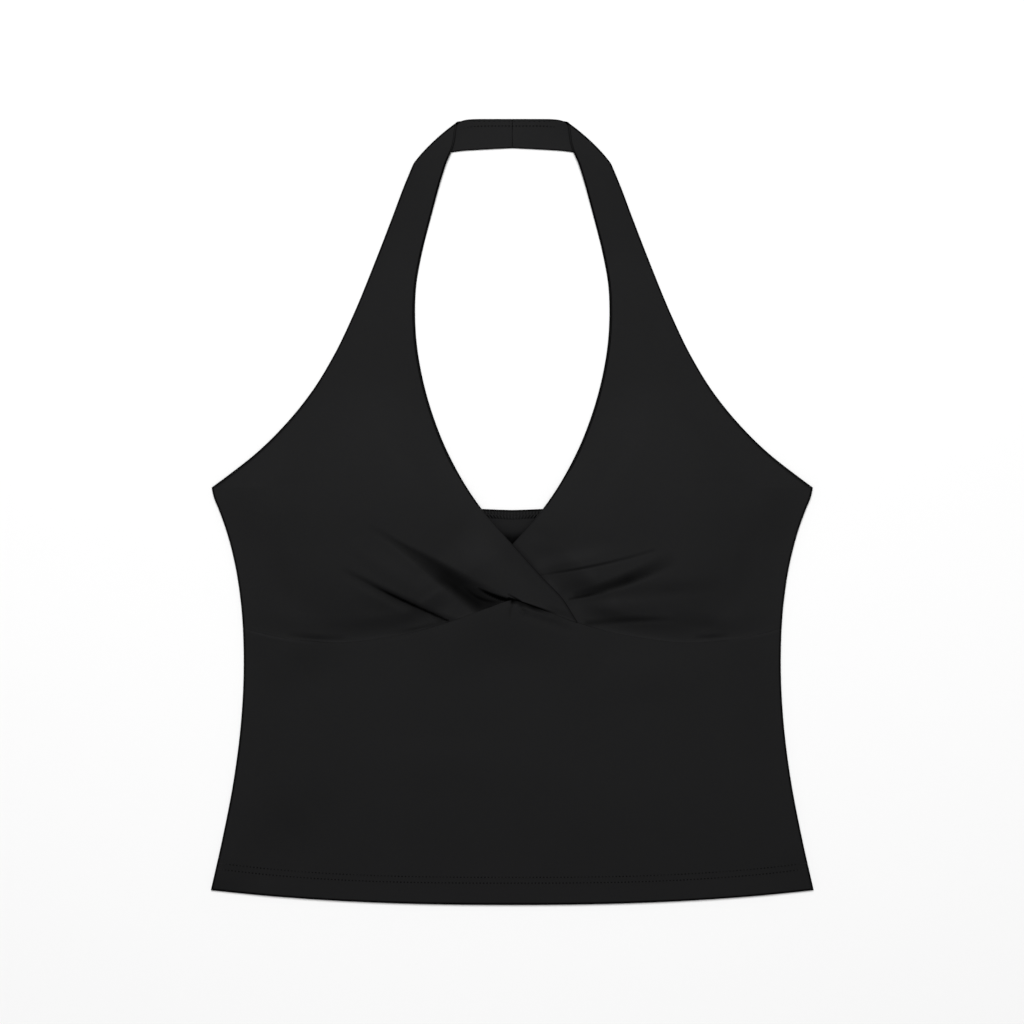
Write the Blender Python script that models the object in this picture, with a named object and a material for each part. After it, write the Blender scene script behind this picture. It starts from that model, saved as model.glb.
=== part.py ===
"""A halter neck top laid flat on its back, front up, with the neck towards +Y.

Four pieces of jersey make it, each a thin closed wall:

  back_panel   one piece, flat on the surface
  front_body   lies on the back panel, from the underbust seam to the hem
  bust_right   one bust half and its half of the halter strap; it crosses underneath
  bust_left    the other half, which crosses on top

Each strap runs up from its bust half, folds over along a slanting line at the shoulder, and comes
back underneath to the seam at the centre back of the neck.

Sizes are in millimetres until a mesh is written. Across is measured from the centre line, and
height from the lowest point of the hem. A bust half is worked out with its armhole on the negative
side, and bust_right is then mirrored.
"""

from collections import namedtuple

import bpy
import numpy as np

MM = 0.001

# Whole garment
LENGTH = 523.4
HEM_HALF = 200.8
HEM_RISE = 9.8
HEM_CURVE = 2.3
UNDERARM_HALF = 200.2
UNDERARM_HEIGHT = 278.0
BACK_TOP_HEIGHT = 263.0
BACK_TOP_CURVE = 1.3
SEAM_SIDE_HEIGHT = 184.3
SEAM_END_ACROSS = 43.7

# Walls, and how the layers lie
BODY_WALL = 1.2
BUST_WALL = 1.5
GAP = 0.3
SEAM_GAP = 0.7
CROSS_GAP = 0.8
STEEPEST = 1.35
DRAPE = 80.0
CROSS_DRAPE = 34.0
CROSS_RAMP = 45.0
CROSS_LIFT = 2.6
CROSS_LIFT_HEIGHT = 237.0
CROSS_LIFT_REACH = 55.0
BODY_LOFT = 1.6
HEM_LOFT = 0.7
HEM_LOFT_REACH = 90.0
BUST_LOFT = 1.8
STRAP_LOFT = 0.5
CUP_MIDDLE = (-88.0, 238.0)
CUP_RISE = 3.2
CUP_ACROSS = 78.0
CUP_ABOVE = 115.0
CUP_BELOW = 64.0
CUP_SHAPE = 1.9
UNDER_LOFT = 0.8
PRESSED_LOFT = 0.3
EDGE_EASE = 40.0
STRAP_EASE = 110.0
SEAM_LOFT = 1.05
SEAM_EASE = 16.0
BAND_SEAM_EASE = 14.0
NECK_FLAT_HEIGHT = 305.0
NECK_RAISED_HEIGHT = 240.0
SOFT_STOP = 0.4

# The shoulder fold of a strap: its line runs from the armhole edge to the neckline edge. The strap
# meets it at a slant, so its two edges drift along the line as the cloth goes round.
FOLD_OUTER = (-67.9, 489.5)
FOLD_INNER = (-36.8, 519.0)
FOLD_BOW = 1.6
FOLD_RADIUS = 0.95
FOLD_OUTER_DRIFT = 2.95
FOLD_INNER_DRIFT = 1.45
FOLD_RAMP = 60.0
FOLD_SETTLE = 12.0
NAPE_LOWER_BEND = (-38.0, 501.6)
NAPE_LOWER_MIDDLE = (-19.0, 503.3)
NAPE_LOWER_HEIGHT = 504.35
NAPE_UPPER_POWER = 10

# Grid counts
ACROSS_BUST = 32
BUST_CROWDING = 0.85
STRAP_CROWDING = 1.2
BODY_CROWDING = 1.25
ROWS_BUST = 22
ROWS_STRAP = 18
ROWS_FOLD = 5
ROWS_NAPE = 4
ACROSS_BODY = 44
ROWS_BODY = 14
ROWS_BACK = 16
NECK_AT_UNDERARM = 286.0
NECK_FAN = 4.0

JERSEY = (0.016, 0.016, 0.017, 1.0)
JERSEY_ROUGHNESS = 0.85

Row = namedtuple("Row", "height half_width")
SIDE_SEAM = [
    Row(9.8, 200.8),
    Row(43.1, 193.3),
    Row(83.1, 185.6),
    Row(123.1, 180.6),
    Row(163.1, 178.9),
    Row(203.1, 181.0),
    Row(229.7, 185.3),
    Row(253.1, 191.7),
    Row(264.0, 195.7),
    Row(272.0, 198.9),
    Row(278.0, 200.2),
]
ARMHOLE = [
    Row(278.0, 200.2),
    Row(286.4, 188.9),
    Row(299.7, 172.0),
    Row(319.7, 151.6),
    Row(339.7, 135.3),
    Row(366.4, 118.8),
    Row(393.1, 106.0),
    Row(426.4, 92.3),
    Row(459.7, 79.3),
    Row(478.7, 72.1),
    Row(489.5, 67.9),
]
# Past the crossing the half width is negative: the edge is on the far side of the centre line.
NECKLINE = [
    Row(188.0, -43.7),
    Row(196.4, -38.5),
    Row(203.0, -34.3),
    Row(219.7, -18.6),
    Row(240.4, 0.0),
    Row(264.4, 20.8),
    Row(299.7, 42.2),
    Row(326.4, 53.0),
    Row(353.1, 60.3),
    Row(373.1, 63.6),
    Row(393.1, 64.8),
    Row(413.1, 64.0),
    Row(433.1, 60.5),
    Row(459.7, 53.8),
    Row(486.4, 46.4),
    Row(496.0, 43.2),
    Row(500.7, 41.0),
    Row(504.0, 39.6),
    Row(519.0, 36.8),
]

Seam = namedtuple("Seam", "across height")
UNDERBUST = [
    Seam(-8.0, 200.9),
    Seam(0.0, 203.0),
    Seam(8.0, 200.9),
    Seam(14.7, 198.4),
    Seam(28.0, 193.7),
    Seam(43.7, 188.0),
    Seam(61.3, 182.8),
    Seam(87.0, 177.8),
    Seam(113.0, 174.8),
    Seam(137.0, 175.8),
    Seam(160.0, 179.3),
    Seam(179.5, 184.3),
]

# A fold runs from (x0, h0) to (x1, h1), bowed upwards by bow at its middle. It reaches above and
# below its line by those widths, and rises by the three amounts along it. A trough has a negative rise.
Fold = namedtuple("Fold", "x0 h0 x1 h1 bow above below rise0 rise_mid rise1")
LEFT_FOLDS = [
    Fold(-92.0, 252.8, -10.0, 197.8, 0.4, 9.0, 13.0, 0.0, -2.4, -2.2),
    Fold(-114.0, 225.0, -38.0, 188.6, -1.2, 7.0, 13.0, 0.0, -1.9, -1.6),
    Fold(-104.0, 238.0, -36.0, 194.0, -1.0, 11.0, 9.0, 0.1, 0.4, 0.4),
    Fold(-62.0, 262.0, 27.0, 199.0, 0.0, 24.0, 18.0, 0.3, 1.2, 1.2),
]
RIGHT_FOLDS = [
    Fold(-36.5, 203.2, -112.0, 231.0, -1.0, 9.0, 8.0, -1.2, -2.2, 0.0),
    Fold(-50.0, 188.0, -112.0, 190.4, 0.3, 7.0, 6.0, -0.8, -1.1, 0.0),
    Fold(-14.0, 222.0, -66.0, 232.5, -0.8, 11.0, 7.0, 1.0, 0.9, 0.0),
    Fold(-42.0, 196.5, -118.0, 204.0, 0.0, 8.0, 7.0, 0.8, 0.8, 0.1),
    Fold(-26.0, 246.0, 20.0, 205.0, 0.0, 14.0, 16.0, 0.7, 0.9, 0.4),
]
BODY_FOLDS = [
    Fold(-150.0, 160.0, -60.0, 150.0, 3.0, 22.0, 26.0, 0.0, 0.3, 0.1),
    Fold(40.0, 150.0, 150.0, 162.0, -3.0, 24.0, 22.0, 0.1, 0.3, 0.0),
    Fold(-120.0, 96.0, 30.0, 88.0, 4.0, 20.0, 24.0, 0.0, -0.2, 0.0),
    Fold(20.0, 60.0, 150.0, 74.0, -3.0, 18.0, 22.0, 0.0, 0.2, 0.1),
    Fold(-165.0, 30.0, -60.0, 44.0, 0.0, 22.0, 18.0, 0.1, 0.2, 0.0),
]


def curve(table, at):
    """The smooth curve through a table's rows: a cubic between each two, with the mean slope at each row."""
    knots, values = np.array(table).T
    slopes = np.gradient(values, knots)
    i = np.clip(np.searchsorted(knots, at, side="right") - 1, 0, len(knots) - 2)
    span = knots[i + 1] - knots[i]
    t = np.clip((at - knots[i]) / span, 0.0, 1.0)
    start = values[i] * (1 + 2 * t) + slopes[i] * span * t
    end = values[i + 1] * (3 - 2 * t) - slopes[i + 1] * span * (1 - t)
    return start * (1 - t) ** 2 + end * t**2


def ease(t):
    """A smooth step from 0 to 1 as t goes from 0 to 1."""
    t = np.clip(t, 0.0, 1.0)
    return t * t * (3 - 2 * t)


def hem_height(across):
    return HEM_RISE * np.abs(across / HEM_HALF) ** HEM_CURVE


def back_top_height(across):
    rise = UNDERARM_HEIGHT - BACK_TOP_HEIGHT
    return BACK_TOP_HEIGHT + rise * np.abs(across / UNDERARM_HALF) ** BACK_TOP_CURVE


def underbust_height(across):
    return curve(UNDERBUST, np.abs(across))


def neck_half(height):
    return curve(NECKLINE, height)


def fold_rise(folds, x, h):
    """The sum of the folds' rises: each a bell across its line, with round ends."""
    total = np.zeros_like(x)
    for fold in folds:
        run = np.array([fold.x1 - fold.x0, fold.h1 - fold.h0])
        length = np.hypot(*run)
        along_x, along_h = run / length
        up_x, up_h = np.array([-along_h, along_x]) * np.sign(along_x)
        along = (x - fold.x0) * along_x + (h - fold.h0) * along_h
        s = np.clip(along / length, 0.0, 1.0)
        off = (x - fold.x0) * up_x + (h - fold.h0) * up_h - fold.bow * 4 * s * (1 - s)
        side = off / np.where(off > 0, fold.above, fold.below)
        end = 2 * (along - s * length) / (fold.above + fold.below)
        far = np.clip(np.hypot(side, end), 0.0, 1.0)
        rise = np.interp(s, [0.0, 0.5, 1.0], [fold.rise0, fold.rise_mid, fold.rise1])
        total += rise * (0.5 + 0.5 * np.cos(np.pi * far))
    return total


def never_below(height):
    """Height where it is positive, easing to 0 where the cloth would sink into what it lies on."""
    return 0.5 * (height + np.sqrt(height**2 + SOFT_STOP**2))


def cup_rise(x, h):
    """The dome over the fullest part of the bust, flat on top, which reaches further up than down."""
    (middle_x, middle_h) = CUP_MIDDLE
    up = (h - middle_h) / np.where(h > middle_h, CUP_ABOVE, CUP_BELOW)
    far = np.clip(np.hypot((x - middle_x) / CUP_ACROSS, up), 0.0, 1.0) ** CUP_SHAPE
    return CUP_RISE * (0.5 + 0.5 * np.cos(np.pi * far))


def off_edges(x, h):
    """0 along a bust half's two side edges, where it lies close, and 1 well inside them.

    The neck edge leaves the cloth below it towards the crossing, where it is pulled up."""
    armhole = np.where(h < UNDERARM_HEIGHT, curve(SIDE_SEAM, h), curve(ARMHOLE, h))
    from_arm = ease((x + armhole) / EDGE_EASE)
    from_neck = ease((-neck_half(h) - x) / EDGE_EASE)
    raised = ease((NECK_FLAT_HEIGHT - h) / (NECK_FLAT_HEIGHT - NECK_RAISED_HEIGHT))
    return from_arm * (1 - (1 - from_neck) * (1 - raised))


def under_loft(x, h):
    """How far the under layer stands off the body at the crossing, where both halves rise."""
    far = np.clip(np.hypot(x, h - CROSS_LIFT_HEIGHT) / CROSS_LIFT_REACH, 0.0, 1.0)
    return UNDER_LOFT + CROSS_LIFT * (0.5 + 0.5 * np.cos(np.pi * far))


def bust_loft(x, h, overlap, folds):
    """How far a bust half stands off what it lies on: a low dome over the bust, little on the strap.

    It is pressed down where it is sewn over the other half."""
    up_strap = ease((h - BACK_TOP_HEIGHT) / STRAP_EASE)
    dome = BUST_LOFT + (STRAP_LOFT - BUST_LOFT) * up_strap
    from_seam = ease((h - underbust_height(x)) / (SEAM_EASE + (BAND_SEAM_EASE - SEAM_EASE) * overlap))
    at_seam = SEAM_LOFT + (PRESSED_LOFT - SEAM_LOFT) * overlap
    rise = fold_rise(folds, x, h) + cup_rise(x, h)
    dome = at_seam + (dome - at_seam) * from_seam + rise * (rise < 0) + rise * (rise > 0) * from_seam
    return never_below(dome) * off_edges(x, h)


def inner_height(x, h, crosses_over):
    """The height of a bust half's inner face above the surface that the garment lies on."""
    off_back = ease((h - back_top_height(x)) / DRAPE)
    on_back = (BODY_WALL + GAP) * (1 - off_back)
    (outer_x, outer_h), (bend_x, bend_h) = FOLD_OUTER, NAPE_LOWER_BEND
    nape_edge = outer_h + (x - outer_x) * (bend_h - outer_h) / (bend_x - outer_x)
    on_nape = 2 * FOLD_RADIUS * (1 - ease((nape_edge - h) / FOLD_RAMP))
    overlap = ease((x - neck_half(h) + CROSS_DRAPE) / CROSS_DRAPE)
    if crosses_over:
        climb = ease((x - neck_half(h) + CROSS_RAMP) / CROSS_RAMP)
        on_other = climb * (under_loft(x, h) + BUST_WALL + CROSS_GAP)
        loft = bust_loft(x, h, overlap, LEFT_FOLDS) + on_other
    else:
        loft = overlap * under_loft(x, h) + (1 - overlap) * bust_loft(x, h, 0.0, RIGHT_FOLDS)
    out_x, out_h = fold_outward()
    from_fold = -((x - outer_x) * out_x + (h - outer_h) * out_h)
    return on_back + on_nape + loft * ease(from_fold / FOLD_SETTLE)


def wall_over(x, h, inner, thickness):
    """(inner face, outer face) of cloth whose inner face stands at a height over each place.

    The outer face is above it, further on a slope, so that the wall stays as thick."""
    across_u, across_v = np.gradient(inner)
    x_u, x_v = np.gradient(x)
    h_u, h_v = np.gradient(h)
    area = x_u * h_v - x_v * h_u
    slope_x = (across_u * h_v - across_v * h_u) / area
    slope_h = (across_v * x_u - across_u * x_v) / area
    steep = np.minimum(np.sqrt(1 + slope_x**2 + slope_h**2), STEEPEST)
    return np.dstack([x, h, inner]), np.dstack([x, h, inner + thickness * steep])


def bust_plan():
    """Plan of a bust half's front: (x, h) from the underbust seam up, from the armhole to the neckline."""
    v = np.linspace(0.0, 1.0, ACROSS_BUST + 1)[None, :] ** BUST_CROWDING
    u = np.linspace(0.0, 1.0, ROWS_BUST + 1)[:, None]
    start = -curve(SIDE_SEAM, SEAM_SIDE_HEIGHT)
    bottom_x = start + v * (SEAM_END_ACROSS - start)
    bottom_h = underbust_height(bottom_x) + SEAM_GAP / 2
    side_h = bottom_h[0, 0] + u * (UNDERARM_HEIGHT - bottom_h[0, 0])
    neck_h = bottom_h[0, -1] + u * (NECK_AT_UNDERARM - bottom_h[0, -1])
    side_x, neck_x = -curve(SIDE_SEAM, side_h), -neck_half(neck_h)
    top_x = side_x[-1] + v * (neck_x[-1] - side_x[-1])
    top_h = side_h[-1] + v * (neck_h[-1] - side_h[-1])

    def patch(bottom, top, side, neck):
        corners = (1 - u) * ((1 - v) * bottom[0, 0] + v * bottom[0, -1])
        corners = corners + u * ((1 - v) * top[0, 0] + v * top[0, -1])
        return (1 - u) * bottom + u * top + (1 - v) * side + v * neck - corners

    bust_x = patch(bottom_x, top_x, side_x, neck_x)
    bust_h = patch(bottom_h, top_h, side_h, neck_h)

    u = np.linspace(0.0, 1.0, ROWS_STRAP + 1)[1:, None] ** STRAP_CROWDING
    outer_h = UNDERARM_HEIGHT + u * (FOLD_OUTER[1] - UNDERARM_HEIGHT)
    lead = NECK_AT_UNDERARM - UNDERARM_HEIGHT
    fan = (FOLD_INNER[1] - FOLD_OUTER[1]) - lead
    inner_h = outer_h + lead + fan * u**NECK_FAN
    outer_x, inner_x = -curve(ARMHOLE, outer_h), -neck_half(inner_h)
    bow_x, bow_h = fold_outward() * FOLD_BOW
    bow = 4 * v * (1 - v) * u ** (2 * NECK_FAN)
    strap_x = outer_x + v * (inner_x - outer_x) + bow * bow_x
    strap_h = outer_h + v * (inner_h - outer_h) + bow * bow_h
    return np.vstack([bust_x, strap_x]), np.vstack([bust_h, strap_h])


def fold_outward():
    """The way out from the shoulder fold's line, in plan."""
    run = np.subtract(FOLD_INNER, FOLD_OUTER)
    return np.array([-run[1], run[0]]) / np.hypot(*run)


def fold_line(turn, v):
    """(x, h, bow) of the shoulder fold's axis, from the armhole edge to the neckline edge, at an
    angle of its half turn."""
    run = np.subtract(FOLD_INNER, FOLD_OUTER)
    length = np.hypot(*run)
    arc = FOLD_RADIUS * turn
    start = arc * FOLD_OUTER_DRIFT
    at = start + v * (length + arc * FOLD_INNER_DRIFT - start)
    share = np.clip(at / length, 0.0, 1.0)
    bow = FOLD_BOW * 4 * share * (1 - share)
    along_x, along_h = run / length
    return FOLD_OUTER[0] + at * along_x, FOLD_OUTER[1] + at * along_h, bow


def nape_plan(s, v):
    """Plan of the part behind the neck, from under the shoulder fold to the centre back seam."""
    end = -GAP / 2
    (low_x, high_x), (low_h, high_h), _ = fold_line(np.pi, np.array([0.0, 1.0]))
    lower_x = low_x + s * (end - low_x)
    upper_x = high_x + s * (end - high_x)
    lower = [Seam(low_x, low_h), Seam(*NAPE_LOWER_BEND), Seam(*NAPE_LOWER_MIDDLE)]
    lower_h = curve([*lower, Seam(end, NAPE_LOWER_HEIGHT)], lower_x)
    upper_h = LENGTH - (1 - s) ** NAPE_UPPER_POWER * (LENGTH - high_h)
    bow_x, bow_h = fold_outward()
    bow = fold_line(np.pi, v)[2] * (1 - s) ** 2
    return lower_x + v * (upper_x - lower_x) + bow * bow_x, lower_h + v * (upper_h - lower_h) + bow * bow_h


def strap_back():
    """(inner face, outer face) from the shoulder fold to the centre back seam.

    First half a turn about the fold's line, then flat on the surface to the seam."""
    out_x, out_h = fold_outward()
    middle = BUST_WALL / 2 + FOLD_RADIUS
    v = np.linspace(0.0, 1.0, ACROSS_BUST + 1)[None, :] ** BUST_CROWDING
    turn = np.linspace(0.0, np.pi, ROWS_FOLD + 1)[1:, None]
    axis_x, axis_h, bow = fold_line(turn, v)
    nape_x, nape_h = nape_plan(np.linspace(0.0, 1.0, ROWS_NAPE + 1)[1:, None], v)
    faces = []
    for radius, floor in ((FOLD_RADIUS - BUST_WALL / 2, BUST_WALL), (FOLD_RADIUS + BUST_WALL / 2, 0.0)):
        reach = bow + radius * np.sin(turn)
        height = np.broadcast_to(middle + radius * np.cos(turn), reach.shape)
        rolled = np.dstack([axis_x + reach * out_x, axis_h + reach * out_h, height])
        flat = np.dstack([nape_x, nape_h, np.full_like(nape_x, floor)])
        faces.append(np.vstack([rolled, flat]))
    return faces


def bust_half(name, crosses_over):
    x, h = bust_plan()
    inner, outer = wall_over(x, h, inner_height(x, h, crosses_over), BUST_WALL)
    inner[-1, :, 2] = 2 * FOLD_RADIUS
    outer[-1, :, 2] = 2 * FOLD_RADIUS + BUST_WALL
    inner_back, outer_back = strap_back()
    inner, outer = np.vstack([inner, inner_back]), np.vstack([outer, outer_back])
    if not crosses_over:
        inner[..., 0] *= -1
        outer[..., 0] *= -1
    return cloth(name, inner, outer)


def body_plan(top_half, top_height, rows):
    """Plan of a body panel: rows from the hem up to a top edge, out to the side seams."""
    t = np.linspace(-1.0, 1.0, ACROSS_BODY + 1)[None, :]
    t = np.sign(t) * np.abs(t) ** BODY_CROWDING
    u = np.linspace(0.0, 1.0, rows + 1)[:, None]
    h = (1 - u) * hem_height(t * HEM_HALF) + u * top_height(t * top_half)
    side = (1 - u) * HEM_RISE + u * top_height(np.array(top_half))
    return t * curve(SIDE_SEAM, side), h


def front_body():
    def top(across):
        return underbust_height(across) - SEAM_GAP / 2

    x, h = body_plan(curve(SIDE_SEAM, SEAM_SIDE_HEIGHT), top, ROWS_BODY)
    from_side = ease((curve(SIDE_SEAM, h) - np.abs(x)) / EDGE_EASE)
    dome = HEM_LOFT + (BODY_LOFT - HEM_LOFT) * ease((h - hem_height(x)) / HEM_LOFT_REACH)
    loft = never_below(dome + fold_rise(BODY_FOLDS, x, h)) * from_side
    return cloth("front_body", *wall_over(x, h, BODY_WALL + GAP + loft, BODY_WALL))


def back_panel():
    x, h = body_plan(UNDERARM_HALF, back_top_height, ROWS_BACK)
    faces = (np.dstack([x, h, np.full_like(x, z)]) for z in (0.0, BODY_WALL))
    return cloth("back_panel", *faces)


def cloth(name, inner, outer):
    """One closed wall between two grids of points, in metres, with its origin at the middle of the length."""
    rows, columns = inner.shape[:2]
    index = np.arange(rows * columns).reshape(rows, columns)
    quads = np.stack([index[:-1, :-1], index[:-1, 1:], index[1:, 1:], index[1:, :-1]], axis=-1).reshape(-1, 4)
    rim = np.concatenate([index[0], index[1:, -1], index[-1, -2::-1], index[-2::-1, 0]])
    far = rows * columns
    sides = np.stack([rim[:-1], rim[:-1] + far, rim[1:] + far, rim[1:]], axis=-1)
    faces = np.concatenate([quads[:, ::-1], quads + far, sides[:, ::-1]])
    points = np.concatenate([inner.reshape(-1, 3), outer.reshape(-1, 3)])
    points = (points - [0.0, LENGTH / 2, 0.0]) * MM
    mesh = bpy.data.meshes.new(name)
    mesh.from_pydata(points.tolist(), [], faces.tolist())
    corners = points[faces]
    a, b, c, d = (corners[:, k] for k in range(4))
    volume = (a * np.cross(b, c)).sum() + (a * np.cross(c, d)).sum()
    if volume < 0:
        mesh.flip_normals()
    mesh.shade_smooth()
    mesh.set_sharp_from_angle(angle=np.radians(50))
    mesh.materials.append(jersey())
    obj = bpy.data.objects.new(name, mesh)
    bpy.context.collection.objects.link(obj)
    return obj


def jersey():
    """The black cotton jersey that every piece is cut from."""
    material = bpy.data.materials.get("black_jersey")
    if material is None:
        material = bpy.data.materials.new("black_jersey")
        material.use_nodes = True
        shader = material.node_tree.nodes["Principled BSDF"]
        shader.inputs["Base Color"].default_value = JERSEY
        shader.inputs["Roughness"].default_value = JERSEY_ROUGHNESS
        shader.inputs["Metallic"].default_value = 0.0
        material.diffuse_color = JERSEY
    return material


def main():
    for obj in list(bpy.data.objects):
        bpy.data.objects.remove(obj)
    back_panel()
    front_body()
    bust_half("bust_right", crosses_over=False)
    bust_half("bust_left", crosses_over=True)


main()
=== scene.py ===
from collections import namedtuple

import bpy
import numpy as np
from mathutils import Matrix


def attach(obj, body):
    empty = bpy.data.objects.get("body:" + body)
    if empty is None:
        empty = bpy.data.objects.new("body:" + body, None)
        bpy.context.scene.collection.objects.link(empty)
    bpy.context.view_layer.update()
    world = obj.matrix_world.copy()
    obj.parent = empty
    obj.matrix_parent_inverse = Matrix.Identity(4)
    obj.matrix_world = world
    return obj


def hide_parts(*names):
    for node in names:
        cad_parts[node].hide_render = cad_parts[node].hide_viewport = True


# A halter neck top in black stretch jersey, laid flat on a pale floor with its front up.
#
# Each piece is a thin closed shell on the form of its CAD node: two faces of cloth that meet in a
# soft rolled edge. Sizes in the tables are in millimetres. x is measured across from the centre
# line, and h is the height above the lowest point of the hem. A bust half is worked out with its
# armhole on the negative side, and the right half is then mirrored.

bl_info = {
    "name": "Halter neck top",
    "version": (1, 0, 0),
    "blender": (4, 5, 0),
    "location": "3D View > Sidebar > Halter top",
    "description": "Dresses the halter neck top: jersey shells, gathers, seams, stitching and studio",
    "category": "Add Mesh",
}

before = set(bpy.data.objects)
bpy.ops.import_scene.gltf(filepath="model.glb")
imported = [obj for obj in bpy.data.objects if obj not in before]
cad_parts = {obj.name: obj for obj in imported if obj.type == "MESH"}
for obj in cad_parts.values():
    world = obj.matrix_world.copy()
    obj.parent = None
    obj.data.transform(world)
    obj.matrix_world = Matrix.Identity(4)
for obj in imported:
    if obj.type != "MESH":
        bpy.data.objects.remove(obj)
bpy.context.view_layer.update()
MM = 0.001
BODY = "root"

# The garment's outline
LENGTH = 523.4
HEM_HALF = 200.8
HEM_RISE = 9.8
HEM_CURVE = 2.3
UNDERARM_HALF = 200.2
UNDERARM_HEIGHT = 278.0
BACK_TOP_HEIGHT = 263.0
BACK_TOP_CURVE = 1.3
SEAM_SIDE_HEIGHT = 184.3
SEAM_END_ACROSS = 43.7

# How the layers lie. A ramp, reach, ease or drape is the width over which a height comes in
BACK_WALL = 1.2
TURNED_HEM = 0.45
TURNED_HEM_DEPTH = 6.6
TURNED_HEM_STEP = 1.0
TURNED_HEM_SPREAD = 30.0
LAY_GAP = 0.15
DRAPE = 80.0
CROSS_DRAPE = 34.0
CROSS_RAMP = 45.0
CROSS_RAMP_AT_SEAM = 16.0
CROSS_RAMP_REACH = 36.0
CROSS_GAP = 0.45
CROSS_LIFT = 0.6
CROSS_LIFT_HEIGHT = 237.0
CROSS_LIFT_REACH = 55.0

# How far the cloth stands off what it lies on
BODY_LOFT = 1.6
HEM_LOFT = 0.35
HEM_LOFT_REACH = 90.0
BUST_LOFT = 1.8
STRAP_LOFT = 0.5
CUP_MIDDLE = (-88.0, 238.0)
CUP_RISE = 3.2
CUP_ACROSS = 78.0
CUP_ABOVE = 115.0
CUP_BELOW = 64.0
CUP_SHAPE = 1.9
UNDER_LOFT = 0.8
UNDER_AT_SEAM = 0.6
PRESSED_LOFT = 0.2
BAND_LOFT = 0.9
EDGE_EASE = 40.0
STRAP_EASE = 110.0
SEAM_EASE = 16.0
BAND_SEAM_EASE = 36.0
NECK_FLAT_HEIGHT = 305.0
NECK_RAISED_HEIGHT = 240.0
SOFT_STOP = 0.4
STEEPEST = 1.35
SEAM_TUCK = 0.01
SEAM_LOFT = 1.05
LEFT_SEAM_DIVE = -0.15
RIGHT_SEAM_DIVE = -0.25
SEAM_DIVE_REACH = 1.6
LIP_DIP = 0.1
LIP_REACH = 1.3
LIP_FADE = (30.0, 60.0)

# Painted shade that the material gives to edges, folds and the vee, and painted highlight in
# folds: widths, and how strong each one is
EDGE_LINE = 1.4
EDGE_LINE_SHAPE = 0.35
EDGE_LINE_RAMP = 3.0
EDGE_LINE_ARM = 120.0
EDGE_LINE_ON_CLOTH = 0.34
EDGE_LINE_ON_VEE = 0.15
EDGE_LINE_VEE_REACH = 30.0
OVER_NAPE_REACH = 8.0
VEE_SHADE = 1.3
VEE_SHADE_BOTTOM = 241.1
VEE_SHADE_REACH = 13.0
VEE_EDGE_SHADE = 0.18
VEE_EDGE_REACH = 3.0
FOLD_LINE = 2.0
FOLD_LINE_SHAPE = 1.3
MOST_PAINTED_HIGHLIGHT = -0.3

# The shoulder fold of a strap, and the back-neck part behind it
FOLD_OUTER = (-67.7, 489.3)
FOLD_INNER = (-37.0, 519.3)
FOLD_BOW = 1.6
FOLD_RADIUS = 0.95
FOLD_OUTER_DRIFT = 2.95
FOLD_INNER_DRIFT = 1.45
FOLD_RAMP = 60.0
FOLD_END_DRAW = 0.55
FOLD_END_REACH = 5.0
FOLD_SETTLE = 12.0
NAPE_LOWER_BEND = (-38.0, 501.6)
NAPE_LOWER_MIDDLE = (-19.0, 503.3)
NAPE_LOWER_HEIGHT = 504.35
NAPE_TOP_HEIGHT = 523.7
NAPE_UPPER_POWER = 10
NECK_AT_UNDERARM = 286.0
NECK_FAN = 4.0

# Stitching. Shares are of the stitch pitch and of the thread's thickness. A shade goes from 0, a
# needle hole painted near black for the shade in its pit, to 1, thread. HEM_UNEVEN has a share for
# each hem row, the lower one first
HEM_ROW_RISE = 9.4
HEM_ROW_CURVE = 2.7
HEM_POINTS = 600
HEM_FADE = 9.0
HEM_UNEVEN = (0.2, 0.42)
UNEVEN_WAVES = (9.7, 4.3)
HOLE_START = 0.25
HOLE_DEPTH = 0.12
HOLE_LONG = 0.45
HOLE_WIDE = 1.9
THREAD_START = 0.75
THREAD_LONG = 0.5
THREAD_SUNK = 0.15
NAPE_ROW_HALF = 34.5
NAPE_ROW_HEIGHT = 518.9
NAPE_ROW_DROP = 2.4
NAPE_ROW_POWER = 7
NAPE_POINTS = 200
NAPE_FADE = 14.0
NAPE_UNEVEN = 0.15
DASH_HALF = 27.0
DASH_FROM_TOP = 1.75
DASH_POINTS = 50
DASH_PITCH = 1.45
DASH_THICK = 1.2
DASH_SHADE = 0.5
NAPE_SEAM_FOOT = 0.6
NAPE_SEAM_HEAD = 0.4
NAPE_SEAM_POINTS = 60
NAPE_SEAM_LIES_AT = 0.9
NAPE_SEAM_PITCH = 0.8
NAPE_SEAM_LONG = 0.7
NAPE_SEAM_THICK = 1.4
NAPE_SEAM_SLANT = (0.35, 0.94, 0.0)
# The centre back seam's stitches are near black, painted shade of its groove, lighter in one place
NAPE_SEAM_SHADE = 0.02
NAPE_SEAM_LIGHTER = 0.4
NAPE_SEAM_LIGHT_HEIGHT = 513.5
NAPE_SEAM_LIGHT_REACH = 5.0
BAND_HALF = 24.0
BAND_PITCH = 2.1
BAND_POINTS = 200
BAND_FADE = 0.6
BAND_FADE_REACH = 15.0
BandRow = namedtuple("BandRow", "upper lower lean thick")
BAND_ROWS = (BandRow(1.2, 3.4, 0.25, 0.45), BandRow(3.2, 6.5, 0.8, 0.8))
# Dark band strokes are painted shade in the gaps between threads, lighter towards the middle
BandStroke = namedtuple("BandStroke", "shade start")
BAND_STROKES = (BandStroke(1.0, 0.25), BandStroke(0.06, 0.75))

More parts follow.
